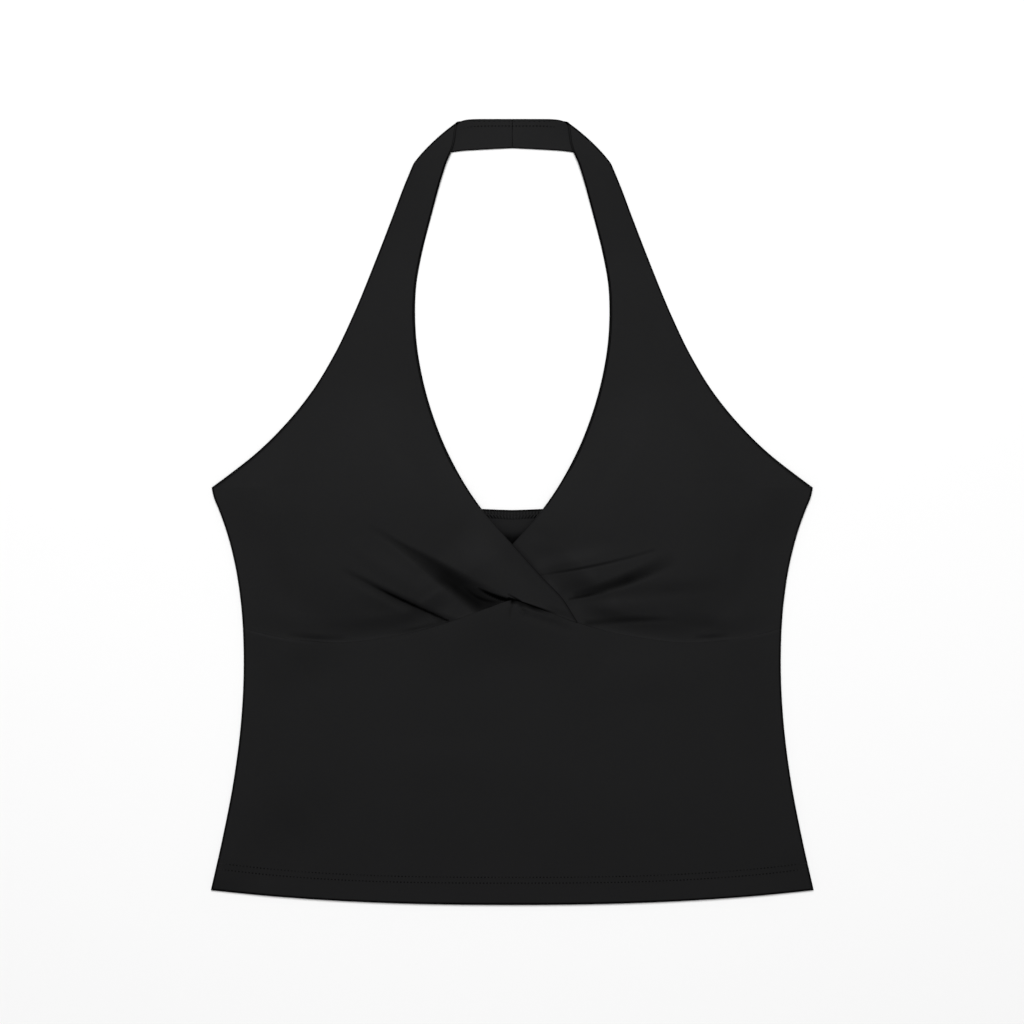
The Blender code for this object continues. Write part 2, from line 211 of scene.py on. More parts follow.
# Jersey, thread and floor. A dark or light tone is a share of the colour, and the mottling and the
# fuzz share the way from dark to light
COURSE_SHARE = 0.8
LOOP_LEAN = 1.4
LOOP_RELIEF = 0.35
JERSEY_DARK = 0.84
JERSEY_LIGHT = 1.16
MOTTLE_SHARE = 0.6
FUZZ_SHARE = 0.4
FUZZ_ROUGHNESS = 0.16
SHEEN_ROUGHNESS = 0.5
# Painted shade of the needle holes: near black, for the dark in their pits
PAINTED_HOLE_SHADE = (0.0004, 0.0004, 0.0004, 1.0)
TWIST_SHARE = 0.35
THREAD_GLOSS = 0.12
THREAD_ROUGHNESS = 0.5
FLOOR_DARK = 0.995
FLOOR_ROUGHNESS = 0.95

# Studio, in metres and watts. At VIEW_HEIGHT the view is 1,024 pixels wide, 1.5 to the millimetre
FLOOR_HALF = 6.0
FLOOR_DEPTH = 0.0003
Lamp = namedtuple("Lamp", "name place size power")
LAMPS = (
    Lamp("window_light", (-0.1, 1.3, 3.4), 1.6, 112.0),
    Lamp("top_light", (0.0, -0.1, 3.2), 2.4, 28.0),
)
WORLD_LIGHT = 0.14
SENSOR_WIDTH = 36.0
LENS = 85.0
VIEW_WIDTH = 1024 / 1.5 * MM
VIEW_HEIGHT = 0.0008
EYE_ACROSS = -0.00017

# Grids. EDGE_SHARES says at which shares of the roll the rows of points near an edge stand, and
# INWARD is the column, counted from a side edge, towards which the way across is taken
EDGE_SHARES = np.array([0.0, 0.05, 0.18, 0.4, 0.68, 1.0, 1.5])
ACROSS_BUST = 190
INWARD = ACROSS_BUST // 8
BUST_CROWDING = 0.72
ROWS_BUST = 132
ROWS_STRAP = 64
STRAP_CROWDING = 1.1
ROWS_FOLD = 12
ROWS_NAPE = 14
NAPE_CROWDING = 1.5
ACROSS_BODY = 250
ROWS_BODY = 130
ACROSS_BACK = 120
ROWS_BACK = 60

Row = namedtuple("Row", "height half_width")
SIDE_SEAM = [
    Row(9.8, 200.8), Row(43.1, 193.3), Row(83.1, 185.6), Row(123.1, 180.6), Row(163.1, 178.9),
    Row(203.1, 181), Row(229.7, 185.3), Row(253.1, 191.7), Row(264, 195.7), Row(272, 198.9),
    Row(278, 200.2),
]
ARMHOLE = [
    Row(278, 200.2), Row(286.4, 188.9), Row(299.7, 172), Row(319.7, 151.6), Row(339.7, 135.3),
    Row(366.4, 118.8), Row(393.1, 106), Row(426.4, 92.3), Row(459.7, 79.3), Row(478.7, 72.1),
    Row(489.3, 67.7),
]
# Past the crossing the half width is negative: the edge is on the far side of the centre line.
NECKLINE = [
    Row(188, -43.7), Row(196.4, -38.5), Row(203, -34.3), Row(219.7, -18.6), Row(240.4, 0),
    Row(264.4, 20.8), Row(299.7, 42.2), Row(326.4, 53), Row(353.1, 60.3), Row(373.1, 63.6),
    Row(393.1, 64.8), Row(413.1, 64), Row(433.1, 60.5), Row(459.7, 53.8), Row(486.4, 46.4),
    Row(496, 43.2), Row(500.7, 41), Row(504, 39.6), Row(519.3, 37),
]

Seam = namedtuple("Seam", "across height")
UNDERBUST = [
    Seam(-8, 200.9), Seam(0, 203), Seam(8, 200.9), Seam(14.7, 198.4), Seam(28, 193.7),
    Seam(43.7, 188), Seam(61.3, 182.8), Seam(87, 177.8), Seam(113, 174.8), Seam(137, 175.8),
    Seam(160, 179.3), Seam(179.5, 184.3),
]

# A fold runs from (x0, h0) to (x1, h1). It reaches above and below its line by those widths, and
# rises by the three amounts at its start, middle and end: a trough has a negative rise. Shade is
# painted shade, how little light gets into it where it is deepest, and below 0 it is a painted
# highlight. Bow lifts the line at its middle, and flare is the width at the start as a share of
# that at the end. Upper and lower are the section's shape on each side: 1 is rounded, less is
# creased at the line, and more is shelved at the far side. Less than 1 in crisp spreads the
# shade, and more narrows it to the line.
Fold = namedtuple(
    "Fold", "x0 h0 x1 h1 above below rise0 rise_mid rise1 shade bow flare upper lower crisp",
    defaults=(0.0, 0.0, 1.0, 1.0, 1.0, 1.0))
# A positive shade in these tables is painted shade in a crease, and a negative one a painted
# highlight
LEFT_FOLDS = [
    Fold(-82, 243.6, -8, 194, 13, 15, 0, -1.6, -1.4, 0.74, bow=1.2, flare=0.2, upper=1.3, lower=1.3),
    Fold(-98, 253, -64, 232, 4.2, 4.2, 0, -0.3, -0.1, 0.13, bow=0.4),
    Fold(-60, 223.5, -24, 199.6, 6, 7.5, -0.1, -0.4, -0.3, 0.24, flare=0.6),
    Fold(-58, 201, -44, 208, 8, 7, 0.1, 0.1, 0.1, -0.22),
    Fold(-22, 211, -1, 202.8, 2, 2.3, -0.3, -1.4, -1, 1.3,
         bow=-0.9, flare=0.5, upper=1.5, lower=1.5, crisp=0.6),
    Fold(-31, 211.4, -8, 202.2, 1.7, 2, -0.1, -0.4, -0.3, 0.26, bow=-2.9, flare=0.8),
    Fold(-2.5, 206.9, 5.5, 202.4, 1, 1, -0.4, -0.7, -0.7, 0.9, flare=0.8),
    Fold(-2, 203.8, 31, 192.7, 1.5, 1.5, -0.8, -0.8, 0, 1.6, upper=1.4, crisp=0.6),
    Fold(20, 198.5, 41, 190.5, 4, 3, 0, -0.2, -0.15, 0.14),
    Fold(-114.4, 224.2, -38.4, 187.8, 4.6, 9, 0, -1.5, -1.1, 0.56,
         bow=-1.2, flare=0.8, upper=0.7, lower=0.7, crisp=1.1),
    Fold(-94, 213.4, -43, 189.6, 0.8, 0.9, 0, -0.6, -0.5, 1.2, bow=-0.4, flare=1.5, crisp=0.7),
    Fold(-110, 205, -62, 192, 9, 9, 0, -0.2, 0, 0.12),
    Fold(-104, 238, -50, 203, 11, 9, 0.1, 0.3, 0.1, bow=-1, flare=0.8),
    Fold(-46, 322, 22, 214, 10, 16, 0.4, 0.8, 0.15, bow=-4),
    Fold(-147, 178.6, -114, 176.6, 4.5, 3, -0.2, -0.6, -0.2, 0.2, bow=-0.6, upper=0.8),
    Fold(-84, 180.2, -48, 187.8, 3.5, 3, 0, -0.4, -0.2, 0.3, bow=-0.6, upper=0.8),
    Fold(-22, 236, 16, 206, 19, 17, 0.02, 0.02, 0.01, -0.13),
]
RIGHT_FOLDS = [
    Fold(-15, 219.4, -94, 235.8, 2, 2.2, -0.3, -0.3, -0.15, 0.22,
         bow=-1.7, flare=0.6, upper=0.9, crisp=1.2),
    Fold(-43, 205.4, -110, 229.6, 10, 5.2, -0.45, -1, 0, 0.7,
         bow=-2.2, flare=0.5, upper=1.2, lower=0.8),
    Fold(-38, 203.7, -62, 208.6, 2.4, 1.8, -0.4, -0.5, -0.1, 0.45, bow=-0.4, flare=0.6),
    Fold(-33, 210.5, -66, 215.5, 6, 6, -0.1, -0.1, 0, 0.1),
    Fold(-20, 226.5, -62, 236, 10, 5, 0.1, 0.1, 0.02, -0.15),
    Fold(-15, 243, -29, 238, 8, 8, 0.1, 0.1, 0.1, -0.08),
    Fold(-36, 221, -52, 219, 7, 7, 0.1, 0.1, 0.1, -0.08),
    Fold(-44, 199, -66, 200, 7, 7, 0.1, 0.1, 0.1, -0.13),
    Fold(-44, 198, -100, 199, 8, 10, 0.3, 0.4, 0),
    Fold(-62, 207.5, -146, 212, 9, 7, -0.1, -0.25, 0, 0.17),
    Fold(-112, 190, -150, 183, 9, 7, -0.1, -0.2, 0, 0.14),
    Fold(-50, 187.4, -112, 190, 3.8, 3.2, -0.55, -0.5, 0, 0.38,
         bow=0.8, flare=1.1, upper=0.9, lower=0.9),
    Fold(-16, 222, -84, 234.4, 12, 3, 0.9, 0.5, 0, bow=-1.5),
    Fold(-124, 177.4, -142, 178.4, 3.6, 3, -0.2, -0.5, -0.2, 0.15, upper=0.8),
    # Painted shadow of the crossing left half's edge on the right half beside it
    Fold(-1, 239.5, -21, 217.2, 2.8, 2.8, -0.02, -0.02, -0.01, 0.25),
    # A painted highlight on the right half beside the crossing edge
    Fold(-24.9, 215.2, -30.1, 209.7, 2.6, 2.6, 0.02, 0.02, 0.02, -0.14),
]
BODY_FOLDS = [
    Fold(-152, 152, -126, 166, 20, 26, -0.3, -0.5, -0.3, 0.1),
    Fold(-165, 42, -134, 62, 34, 34, -0.3, -0.4, -0.2, 0.08),
    Fold(-200, 8, -168, 16, 26, 22, -0.8, -0.6, 0, 0.15),
    Fold(172, 10, 200, 22, 26, 22, 0, -0.4, -0.8, 0.08),
    Fold(-120, 96, 30, 88, 20, 24, 0, 0.3, 0, bow=4),
    Fold(40, 150, 150, 162, 24, 22, 0.1, 0.3, 0, bow=-3),
    Fold(-44, 188, 40, 188, 18, 46, 1, 2.2, 0.8, bow=14),
    Fold(0.6, 202, -2.4, 188.5, 1.7, 1.7, -0.4, -0.3, 0, 0.34, bow=0.4, flare=0.7),
    Fold(3.8, 200.8, 10.5, 192.5, 1.6, 1.6, -0.4, -0.3, 0, 0.45, bow=0.3, flare=0.8),
    # Painted shadow on the body under the crossing band's lower edge
    Fold(0, 202.6, 26, 194, 1.2, 0.9, -0.3, -0.3, 0, 1.2, crisp=0.6),
    Fold(8, 194, 44, 181, 4, 5, -0.2, -0.3, 0, 0.12, bow=1),
    # Painted highlights on the body's lip just below the seam, near both side seams
    Fold(-179, 183.6, -122, 174, 1.5, 1.5, 0.2, 0.2, 0.05, -0.6, bow=-1.4, crisp=0.7),
    Fold(146, 176.4, 179.5, 183.6, 1.5, 1.5, 0.05, 0.2, 0.2, -0.35, bow=-0.8, crisp=0.7),
]


def curve(table, at):
    """The smooth curve through a table's rows: a cubic between each two, with the mean slope at
    each row."""
    knots, values = np.array(table).T
    slopes = np.gradient(values, knots)
    i = np.clip(np.searchsorted(knots, at, side="right") - 1, 0, len(knots) - 2)
    span = knots[i + 1] - knots[i]
    t = np.clip((at - knots[i]) / span, 0.0, 1.0)
    start = values[i] * (1 + 2 * t) + slopes[i] * span * t
    end = values[i + 1] * (3 - 2 * t) - slopes[i + 1] * span * (1 - t)
    return start * (1 - t) ** 2 + end * t**2


def ease(t):
    """A smooth step from 0 to 1 as t goes from 0 to 1: three times its square less twice its
    cube."""
    t = np.clip(t, 0.0, 1.0)
    return t * t * (3 - 2 * t)


def hump(far):
    """Half a cosine wave, from 1 in the middle to 0 at a distance of 1 and beyond."""
    return 0.5 + 0.5 * np.cos(np.pi * np.clip(far, 0.0, 1.0))


def inner_shares(count):
    """The shares that divide a length into a count of even steps, without its two ends."""
    return np.linspace(0.0, 1.0, count + 1)[None, 1:-1]


def hem_height(across):
    """The hem's edge, whose rise from the middle is a power of the share of the half width."""
    return HEM_RISE * np.abs(across / HEM_HALF) ** HEM_CURVE


def back_top_height(across):
    """The back's top edge, whose rise from the middle is a power of the share of the half width."""
    rise = UNDERARM_HEIGHT - BACK_TOP_HEIGHT
    return BACK_TOP_HEIGHT + rise * np.abs(across / UNDERARM_HALF) ** BACK_TOP_CURVE


def underbust_height(across):
    """The underbust seam, the same on both sides of the centre line."""
    return curve(UNDERBUST, np.abs(across))


def neck_half(height):
    """How far the neckline is from the centre line at a height."""
    return curve(NECKLINE, height)


def armhole_half(height):
    """How far the side seam is from the centre line at a height, and the armhole above it."""
    return np.where(height < UNDERARM_HEIGHT, curve(SIDE_SEAM, height), curve(ARMHOLE, height))


def fold_section(fold, x, h):
    """(how much of the fold is at each place, its rise that far along). Across its line it is half
    a cosine wave of the distance from the line, as a share of the width, raised to the power of
    the section's shape. Past its two ends it closes in the same way."""
    run = np.array([fold.x1 - fold.x0, fold.h1 - fold.h0])
    length = np.hypot(*run)
    along_x, along_h = run / length
    up_x, up_h = np.array([-along_h, along_x]) * np.sign(along_x)
    along = (x - fold.x0) * along_x + (h - fold.h0) * along_h
    s = np.clip(along / length, 0.0, 1.0)
    off = (x - fold.x0) * up_x + (h - fold.h0) * up_h - fold.bow * 4 * s * (1 - s)
    flare = fold.flare + (1 - fold.flare) * s
    side = off / np.where(off > 0, fold.above, fold.below)
    end = 2 * (along - s * length) / (fold.above + fold.below)
    shape = np.where(off > 0, fold.upper, fold.lower)
    section = hump((np.hypot(side, end) / flare) ** shape)
    return section, np.interp(s, [0.0, 0.5, 1.0], [fold.rise0, fold.rise_mid, fold.rise1])


def fold_rise(folds, x, h):
    """The sum of the folds' rises: the height that they add at each place."""
    total = np.zeros(np.broadcast(x, h).shape)
    for fold in folds:
        section, rise = fold_section(fold, x, h)
        total += rise * section
    return total


def fold_shade(folds, x, h):
    """The painted shade of the folds, the share of the light that they keep out: each fold's shade
    where it is deepest, less along it where it is shallower, and less away from its line by a power
    of its section. Below 0 it is a painted highlight, down to a limit."""
    total = np.zeros(np.broadcast(x, h).shape)
    for fold in folds:
        section, rise = fold_section(fold, x, h)
        deepest = max(abs(fold.rise0), abs(fold.rise_mid), abs(fold.rise1))
        total += fold.shade * np.abs(rise) / deepest * section**fold.crisp
    return np.clip(total, MOST_PAINTED_HIGHLIGHT, 1.0)


def cup_rise(x, h):
    """The dome over the fullest part of the bust: half a cosine wave of the distance from its
    middle, with a flatter top, and a longer reach upwards than downwards."""
    middle_x, middle_h = CUP_MIDDLE
    up = (h - middle_h) / np.where(h > middle_h, CUP_ABOVE, CUP_BELOW)
    return CUP_RISE * hump(np.hypot((x - middle_x) / CUP_ACROSS, up) ** CUP_SHAPE)


def never_below(height):
    """Height where it is positive, easing to 0 where the cloth would sink into what it lies on:
    half the sum of the height and of its hypotenuse with the soft stop."""
    return 0.5 * (height + np.sqrt(height**2 + SOFT_STOP**2))


def off_edges(x, h):
    """0 along a bust half's two side edges, where it lies close, and 1 well inside them: the
    smooth steps in from both, multiplied. The neck edge leaves the cloth below it towards the
    crossing, where it is pulled up."""
    from_arm = ease((x + armhole_half(h)) / EDGE_EASE)
    from_neck = ease((-neck_half(h) - x) / EDGE_EASE)
    raised = ease((NECK_FLAT_HEIGHT - h) / (NECK_FLAT_HEIGHT - NECK_RAISED_HEIGHT))
    return from_arm * (1 - (1 - from_neck) * (1 - raised))


def under_loft(x, h):
    """How far the under layer stands off the body at the crossing, where both halves rise: a
    level loft and a cosine dome, pressed down by a smooth step towards the seam."""
    lift = CROSS_LIFT * hump(np.hypot(x, h - CROSS_LIFT_HEIGHT) / CROSS_LIFT_REACH)
    free = UNDER_AT_SEAM + (1 - UNDER_AT_SEAM) * ease((h - underbust_height(x)) / BAND_SEAM_EASE)
    return free * (UNDER_LOFT + lift)


def bust_loft(x, h, overlap, folds, seam_dive):
    """How far a bust half stands off what it lies on. Smooth steps blend the loft of the bust
    with those of the strap, of the band that crosses over, and of the seam, and the cup and the
    folds are added. At the seam itself it turns down or up, by an amount that fades by a
    constant share with the distance."""
    up_strap = ease((h - BACK_TOP_HEIGHT) / STRAP_EASE)
    dome = BUST_LOFT + (STRAP_LOFT - BUST_LOFT) * up_strap
    dome += (BAND_LOFT - dome) * overlap
    above_seam = h - underbust_height(x)
    from_seam = ease(above_seam / (SEAM_EASE + (BAND_SEAM_EASE - SEAM_EASE) * overlap))
    at_seam = SEAM_LOFT + (PRESSED_LOFT - SEAM_LOFT) * overlap
    rise = fold_rise(folds, x, h) + cup_rise(x, h)
    dome = at_seam + (dome - at_seam) * from_seam + rise * (rise < 0) + rise * (rise > 0) * from_seam
    dive = seam_dive * np.exp(-np.maximum(above_seam, 0.0) / SEAM_DIVE_REACH)
    return never_below(dome - dive) * off_edges(x, h)


def bust_inner_height(x, h, crosses_over, bust_wall):
    """The height of a bust half's inner face above the floor: what it lies on, which comes in
    and goes out by smooth steps, and its loft. The left half lies on the back panel and on the
    right half, whose loft under the crossing is the under layer's, and both straps end on the
    part behind the neck."""
    off_back = ease((h - back_top_height(x)) / DRAPE)
    on_back = (back_height(x, h, TURNED_HEM_SPREAD) + LAY_GAP) * (1 - off_back)
    (outer_x, outer_h), (bend_x, bend_h) = FOLD_OUTER, NAPE_LOWER_BEND
    nape_edge = outer_h + (x - outer_x) * (bend_h - outer_h) / (bend_x - outer_x)
    on_nape = 2 * FOLD_RADIUS * (1 - ease((nape_edge - h) / FOLD_RAMP))
    overlap = ease((x - neck_half(h) + CROSS_DRAPE) / CROSS_DRAPE)
    if crosses_over:
        above = ease((h - underbust_height(x)) / CROSS_RAMP_REACH)
        ramp = CROSS_RAMP_AT_SEAM + (CROSS_RAMP - CROSS_RAMP_AT_SEAM) * above
        climb = ease((x - neck_half(h) + ramp) / ramp)
        on_other = climb * (under_loft(x, h) + bust_wall + CROSS_GAP)
        loft = bust_loft(x, h, overlap, LEFT_FOLDS, LEFT_SEAM_DIVE) + on_other
    else:
        alone = bust_loft(x, h, 0.0, RIGHT_FOLDS, RIGHT_SEAM_DIVE)
        loft = overlap * under_loft(x, h) + (1 - overlap) * alone
    out_x, out_h = fold_outward()
    from_fold = -((x - outer_x) * out_x + (h - outer_h) * out_h)
    return on_back + on_nape + loft * ease(from_fold / FOLD_SETTLE)


def back_height(x, h, spread):
    """The upper face of the back panel: its top edge is turned in, and so thicker. The step up to
    it is sharp in the panel. What lies on it has a soft step, which ends where the sharp one
    begins."""
    into_hem = h - back_top_height(x) + TURNED_HEM_DEPTH
    lead = 1.0 if spread > TURNED_HEM_STEP else 0.0
    return BACK_WALL + TURNED_HEM * ease(into_hem / spread + lead)


def back_face(x, h):
    """The upper face of the back panel itself."""
    return back_height(x, h, TURNED_HEM_STEP)


def back_shade(x, h):
    """The back panel, seen in the neck's vee, gets painted shade from the crossing at the bottom, by
    the square of the share of a reach that is left, and a little along the two neck edges that
    stand over it, fading by a constant share with the distance."""
    low = np.clip(1 - (h - VEE_SHADE_BOTTOM) / VEE_SHADE_REACH, 0.0, 1.0) ** 2
    beside = VEE_EDGE_SHADE * np.exp(-np.maximum(neck_half(h) - np.abs(x), 0.0) / VEE_EDGE_REACH)
    return np.minimum(VEE_SHADE * low + beside, 1.0)


def fold_outward():
    """The way out from the shoulder fold's line, in plan: its direction, turned a quarter left."""
    run = np.subtract(FOLD_INNER, FOLD_OUTER)
    return np.array([-run[1], run[0]]) / np.hypot(*run)


def edge_steps(length, roll, inside):
    """Distances from one edge to the other, for each length: at fixed shares of the two rolls,
    and between them at the inside's shares of the length that is left."""
    near = EDGE_SHARES * roll
    middle = roll + (length - 2 * roll) * inside
    near = np.broadcast_to(near, (len(length), len(near)))
    return np.hstack([near, middle, length - near[:, ::-1]])


def edge_slant(x, h):
    """The share of a step along each row that leads straight away from the nearer side edge: the
    sine of the angle between the edge and the row."""
    shares = []
    for edge, inside in ((0, INWARD), (-1, -1 - INWARD)):
        along_x, along_h = np.gradient(x[:, edge]), np.gradient(h[:, edge])
        in_x, in_h = x[:, inside] - x[:, edge], h[:, inside] - h[:, edge]
        cross = np.abs(along_x * in_h - along_h * in_x)
        shares.append(cross / (np.hypot(along_x, along_h) * np.hypot(in_x, in_h)))
    first = np.arange(x.shape[1]) < x.shape[1] / 2
    return np.where(first, shares[0][:, None], shares[1][:, None])


def edge_shade(distance, width):
    """The share of an edge's painted shade line at a distance from the edge: a power of what is left
    of its width."""
    return np.clip(1 - distance / width, 0.0, 1.0) ** EDGE_LINE_SHAPE


def roundness(distance, roll):
    """The share of the full thickness at a distance from an edge: a quarter of an ellipse."""
    return np.sqrt(np.clip(1 - (1 - np.clip(distance / roll, 0.0, 1.0)) ** 2, 0.0, 1.0))


def thicken(x, h, inner, thickness, full):
    """(lower, upper) faces of cloth whose inner face stands at a height over each place. On a
    slope the upper one is further up, by the root of 1 and both squared slopes up to a limit,
    and both faces close on the middle where full goes to 0."""
    z_u, z_v = np.gradient(inner)
    x_u, x_v = np.gradient(x)
    h_u, h_v = np.gradient(h)
    area = x_u * h_v - x_v * h_u
    slope_x = (z_u * h_v - z_v * h_u) / area
    slope_h = (z_v * x_u - z_u * x_v) / area
    half = thickness / 2 * np.minimum(np.sqrt(1 + slope_x**2 + slope_h**2), STEEPEST)
    return np.dstack([x, h, inner + half * (1 - full)]), np.dstack([x, h, inner + half * (1 + full)])


def bust_rows_plan(u, v):
    """Plan of the bust below the underarm: a patch blended between its seam, side, neckline and
    top lines, which is both straight blends of opposite lines less that of the corners. u goes up
    from the seam and v across from the side."""
    def bottom(t):
        """The seam at a share of its way from the side to the vee."""
        start = -curve(SIDE_SEAM, SEAM_SIDE_HEIGHT)
        x = start + t * (SEAM_END_ACROSS - start)
        return x, underbust_height(x) + SEAM_TUCK

    (start_x, start_h), (end_x, end_h) = bottom(0.0), bottom(1.0)
    side_h = start_h + u * (UNDERARM_HEIGHT - start_h)
    neck_h = end_h + u * (NECK_AT_UNDERARM - end_h)
    side_x, neck_x = -curve(SIDE_SEAM, side_h), -neck_half(neck_h)
    top_x = (-curve(SIDE_SEAM, UNDERARM_HEIGHT), -neck_half(NECK_AT_UNDERARM))
    top_h = (UNDERARM_HEIGHT, NECK_AT_UNDERARM)
    patch = []
    for low, (a, b), (c, d), side, neck in (
        (bottom(v)[0], (start_x, end_x), top_x, side_x, neck_x),
        (bottom(v)[1], (start_h, end_h), top_h, side_h, neck_h),
    ):
        high = c + v * (d - c)
        corners = (1 - u) * ((1 - v) * a + v * b) + u * high
        patch.append((1 - u) * low + u * high + (1 - v) * side + v * neck - corners)
    return patch


def strap_rows_plan(u, v):
    """Plan of the strap from the underarm to the shoulder fold: straight rows between its edges,
    which bow outwards as a parabola towards the fold."""
    outer_h = UNDERARM_HEIGHT + u * (FOLD_OUTER[1] - UNDERARM_HEIGHT)
    lead = NECK_AT_UNDERARM - UNDERARM_HEIGHT
    fan = (FOLD_INNER[1] - FOLD_OUTER[1]) - lead
    inner_h = outer_h + lead + fan * u**NECK_FAN
    outer_x, inner_x = -curve(ARMHOLE, outer_h), -neck_half(inner_h)
    bow_x, bow_h = fold_outward() * FOLD_BOW
    bow = 4 * v * (1 - v) * u ** (2 * NECK_FAN)
    x = outer_x + v * (inner_x - outer_x) + bow * bow_x
    return x, outer_h + v * (inner_h - outer_h) + bow * bow_h


def fold_line_plan(turn, v):
    """(x, h, bow, swell) of the shoulder fold's axis at an angle of its half turn. The strap meets
    the fold at a slant, so its two edges drift along the axis as the cloth goes round. The swell
    is the share of the full radius: less at the outer end, where the cloth is drawn in."""
    run = np.subtract(FOLD_INNER, FOLD_OUTER)
    length = np.hypot(*run)
    arc = FOLD_RADIUS * turn
    start = arc * FOLD_OUTER_DRIFT
    at = start + v * (length + arc * FOLD_INNER_DRIFT - start)
    share = np.clip(at / length, 0.0, 1.0)
    bow = FOLD_BOW * 4 * share * (1 - share)
    swell = 1 - FOLD_END_DRAW * np.exp(-share * length / FOLD_END_REACH)
    along_x, along_h = run / length
    return FOLD_OUTER[0] + at * along_x, FOLD_OUTER[1] + at * along_h, bow, swell


def nape_rows_plan(s, v):
    """Plan of the part behind the neck, from under the shoulder fold to the centre back seam:
    straight rows between its lower edge, a curve, and its upper edge, a power of the way."""
    end = -SEAM_TUCK
    (low_x, high_x), (low_h, high_h), *_ = fold_line_plan(np.pi, np.array([0.0, 1.0]))
    lower_x = low_x + s * (end - low_x)
    upper_x = high_x + s * (end - high_x)
    lower = [Seam(low_x, low_h), Seam(*NAPE_LOWER_BEND), Seam(*NAPE_LOWER_MIDDLE),
             Seam(end, NAPE_LOWER_HEIGHT)]
    lower_h = curve(lower, lower_x)
    upper_h = NAPE_TOP_HEIGHT - (1 - s) ** NAPE_UPPER_POWER * (NAPE_TOP_HEIGHT - high_h)
    bow_x, bow_h = fold_outward()
    bow = fold_line_plan(np.pi, v)[2] * (1 - s) ** 2
    x = lower_x + v * (upper_x - lower_x) + bow * bow_x
    return x, lower_h + v * (upper_h - lower_h) + bow * bow_h


def across_steps(plan, u, roll, inside):
    """(share across, distance to the nearer side edge) of each point of a row: the steps from
    edge to edge, divided by the row's length in plan."""
    low_x, low_h = plan(u, np.zeros_like(u))
    high_x, high_h = plan(u, np.ones_like(u))
    length = np.hypot(high_x - low_x, high_h - low_h)
    steps = edge_steps(length, roll, inside)
    return steps / length, np.minimum(steps, length - steps)


def front_plan(roll, seam_roll):
    """(x, h, distance to the nearer side edge, share of the full thickness, last row's shares
    across) of a bust half's front: bust rows from the seam, then strap rows up to the fold."""
    inside = inner_shares(ACROSS_BUST) ** BUST_CROWDING
    seam_high = UNDERARM_HEIGHT - SEAM_SIDE_HEIGHT
    u = edge_steps(np.array([[seam_high]]), seam_roll, inner_shares(ROWS_BUST))
    u = u.reshape(-1, 1)[: -len(EDGE_SHARES)]
    from_seam = roundness(u, seam_roll)
    u = u / seam_high
    v, near = across_steps(bust_rows_plan, u, roll, inside)
    x, h = bust_rows_plan(u, v)
    u = np.linspace(0.0, 1.0, ROWS_STRAP + 1)[:, None] ** STRAP_CROWDING
    v_strap, near_strap = across_steps(strap_rows_plan, u, roll, inside)
    x_strap, h_strap = strap_rows_plan(u, v_strap)
    full = np.vstack([roundness(near, roll) * from_seam, roundness(near_strap, roll)])
    near = np.vstack([near, near_strap])
    return np.vstack([x, x_strap]), np.vstack([h, h_strap]), near, full, v_strap[-1:]


def painted_edge_line(x, h, near):
    """The painted shade line along a bust half's side edges, by the distance straight away from them.
    It is weaker where the half lies on cloth, most of all beside the vee, and it is gone where the
    strap lies on the part behind the neck."""
    over_cloth = (1 - ease((h - back_top_height(x)) / EDGE_LINE_RAMP)) * (x > -EDGE_LINE_ARM)
    over_nape = ease((h - NAPE_LOWER_BEND[1]) / EDGE_LINE_RAMP)
    over_nape = over_nape * (x > FOLD_INNER[0] - OVER_NAPE_REACH)
    below_vee = ease((VEE_SHADE_BOTTOM + VEE_EDGE_REACH - h) / EDGE_LINE_VEE_REACH)
    on_cloth = EDGE_LINE_ON_VEE + (EDGE_LINE_ON_CLOTH - EDGE_LINE_ON_VEE) * below_vee
    weaker = np.maximum((1 - on_cloth) * over_cloth, over_nape)
    return edge_shade(near * edge_slant(x, h), EDGE_LINE) * (1 - weaker)


def nape_shares(seam_roll):
    """(shares of the way behind the neck, what is left of it in millimetres): closer together
    towards the fold, by a power, and at the shares of the roll at the seam."""
    long = -FOLD_INNER[0]
    s = np.linspace(0.0, 1.0, ROWS_NAPE + 1)[1:, None] ** NAPE_CROWDING
    last = 1 - EDGE_SHARES[::-1] * seam_roll / long
    s = np.append(s[s < 1 - seam_roll / long], last)[:, None]
    return s, (1 - s) * long


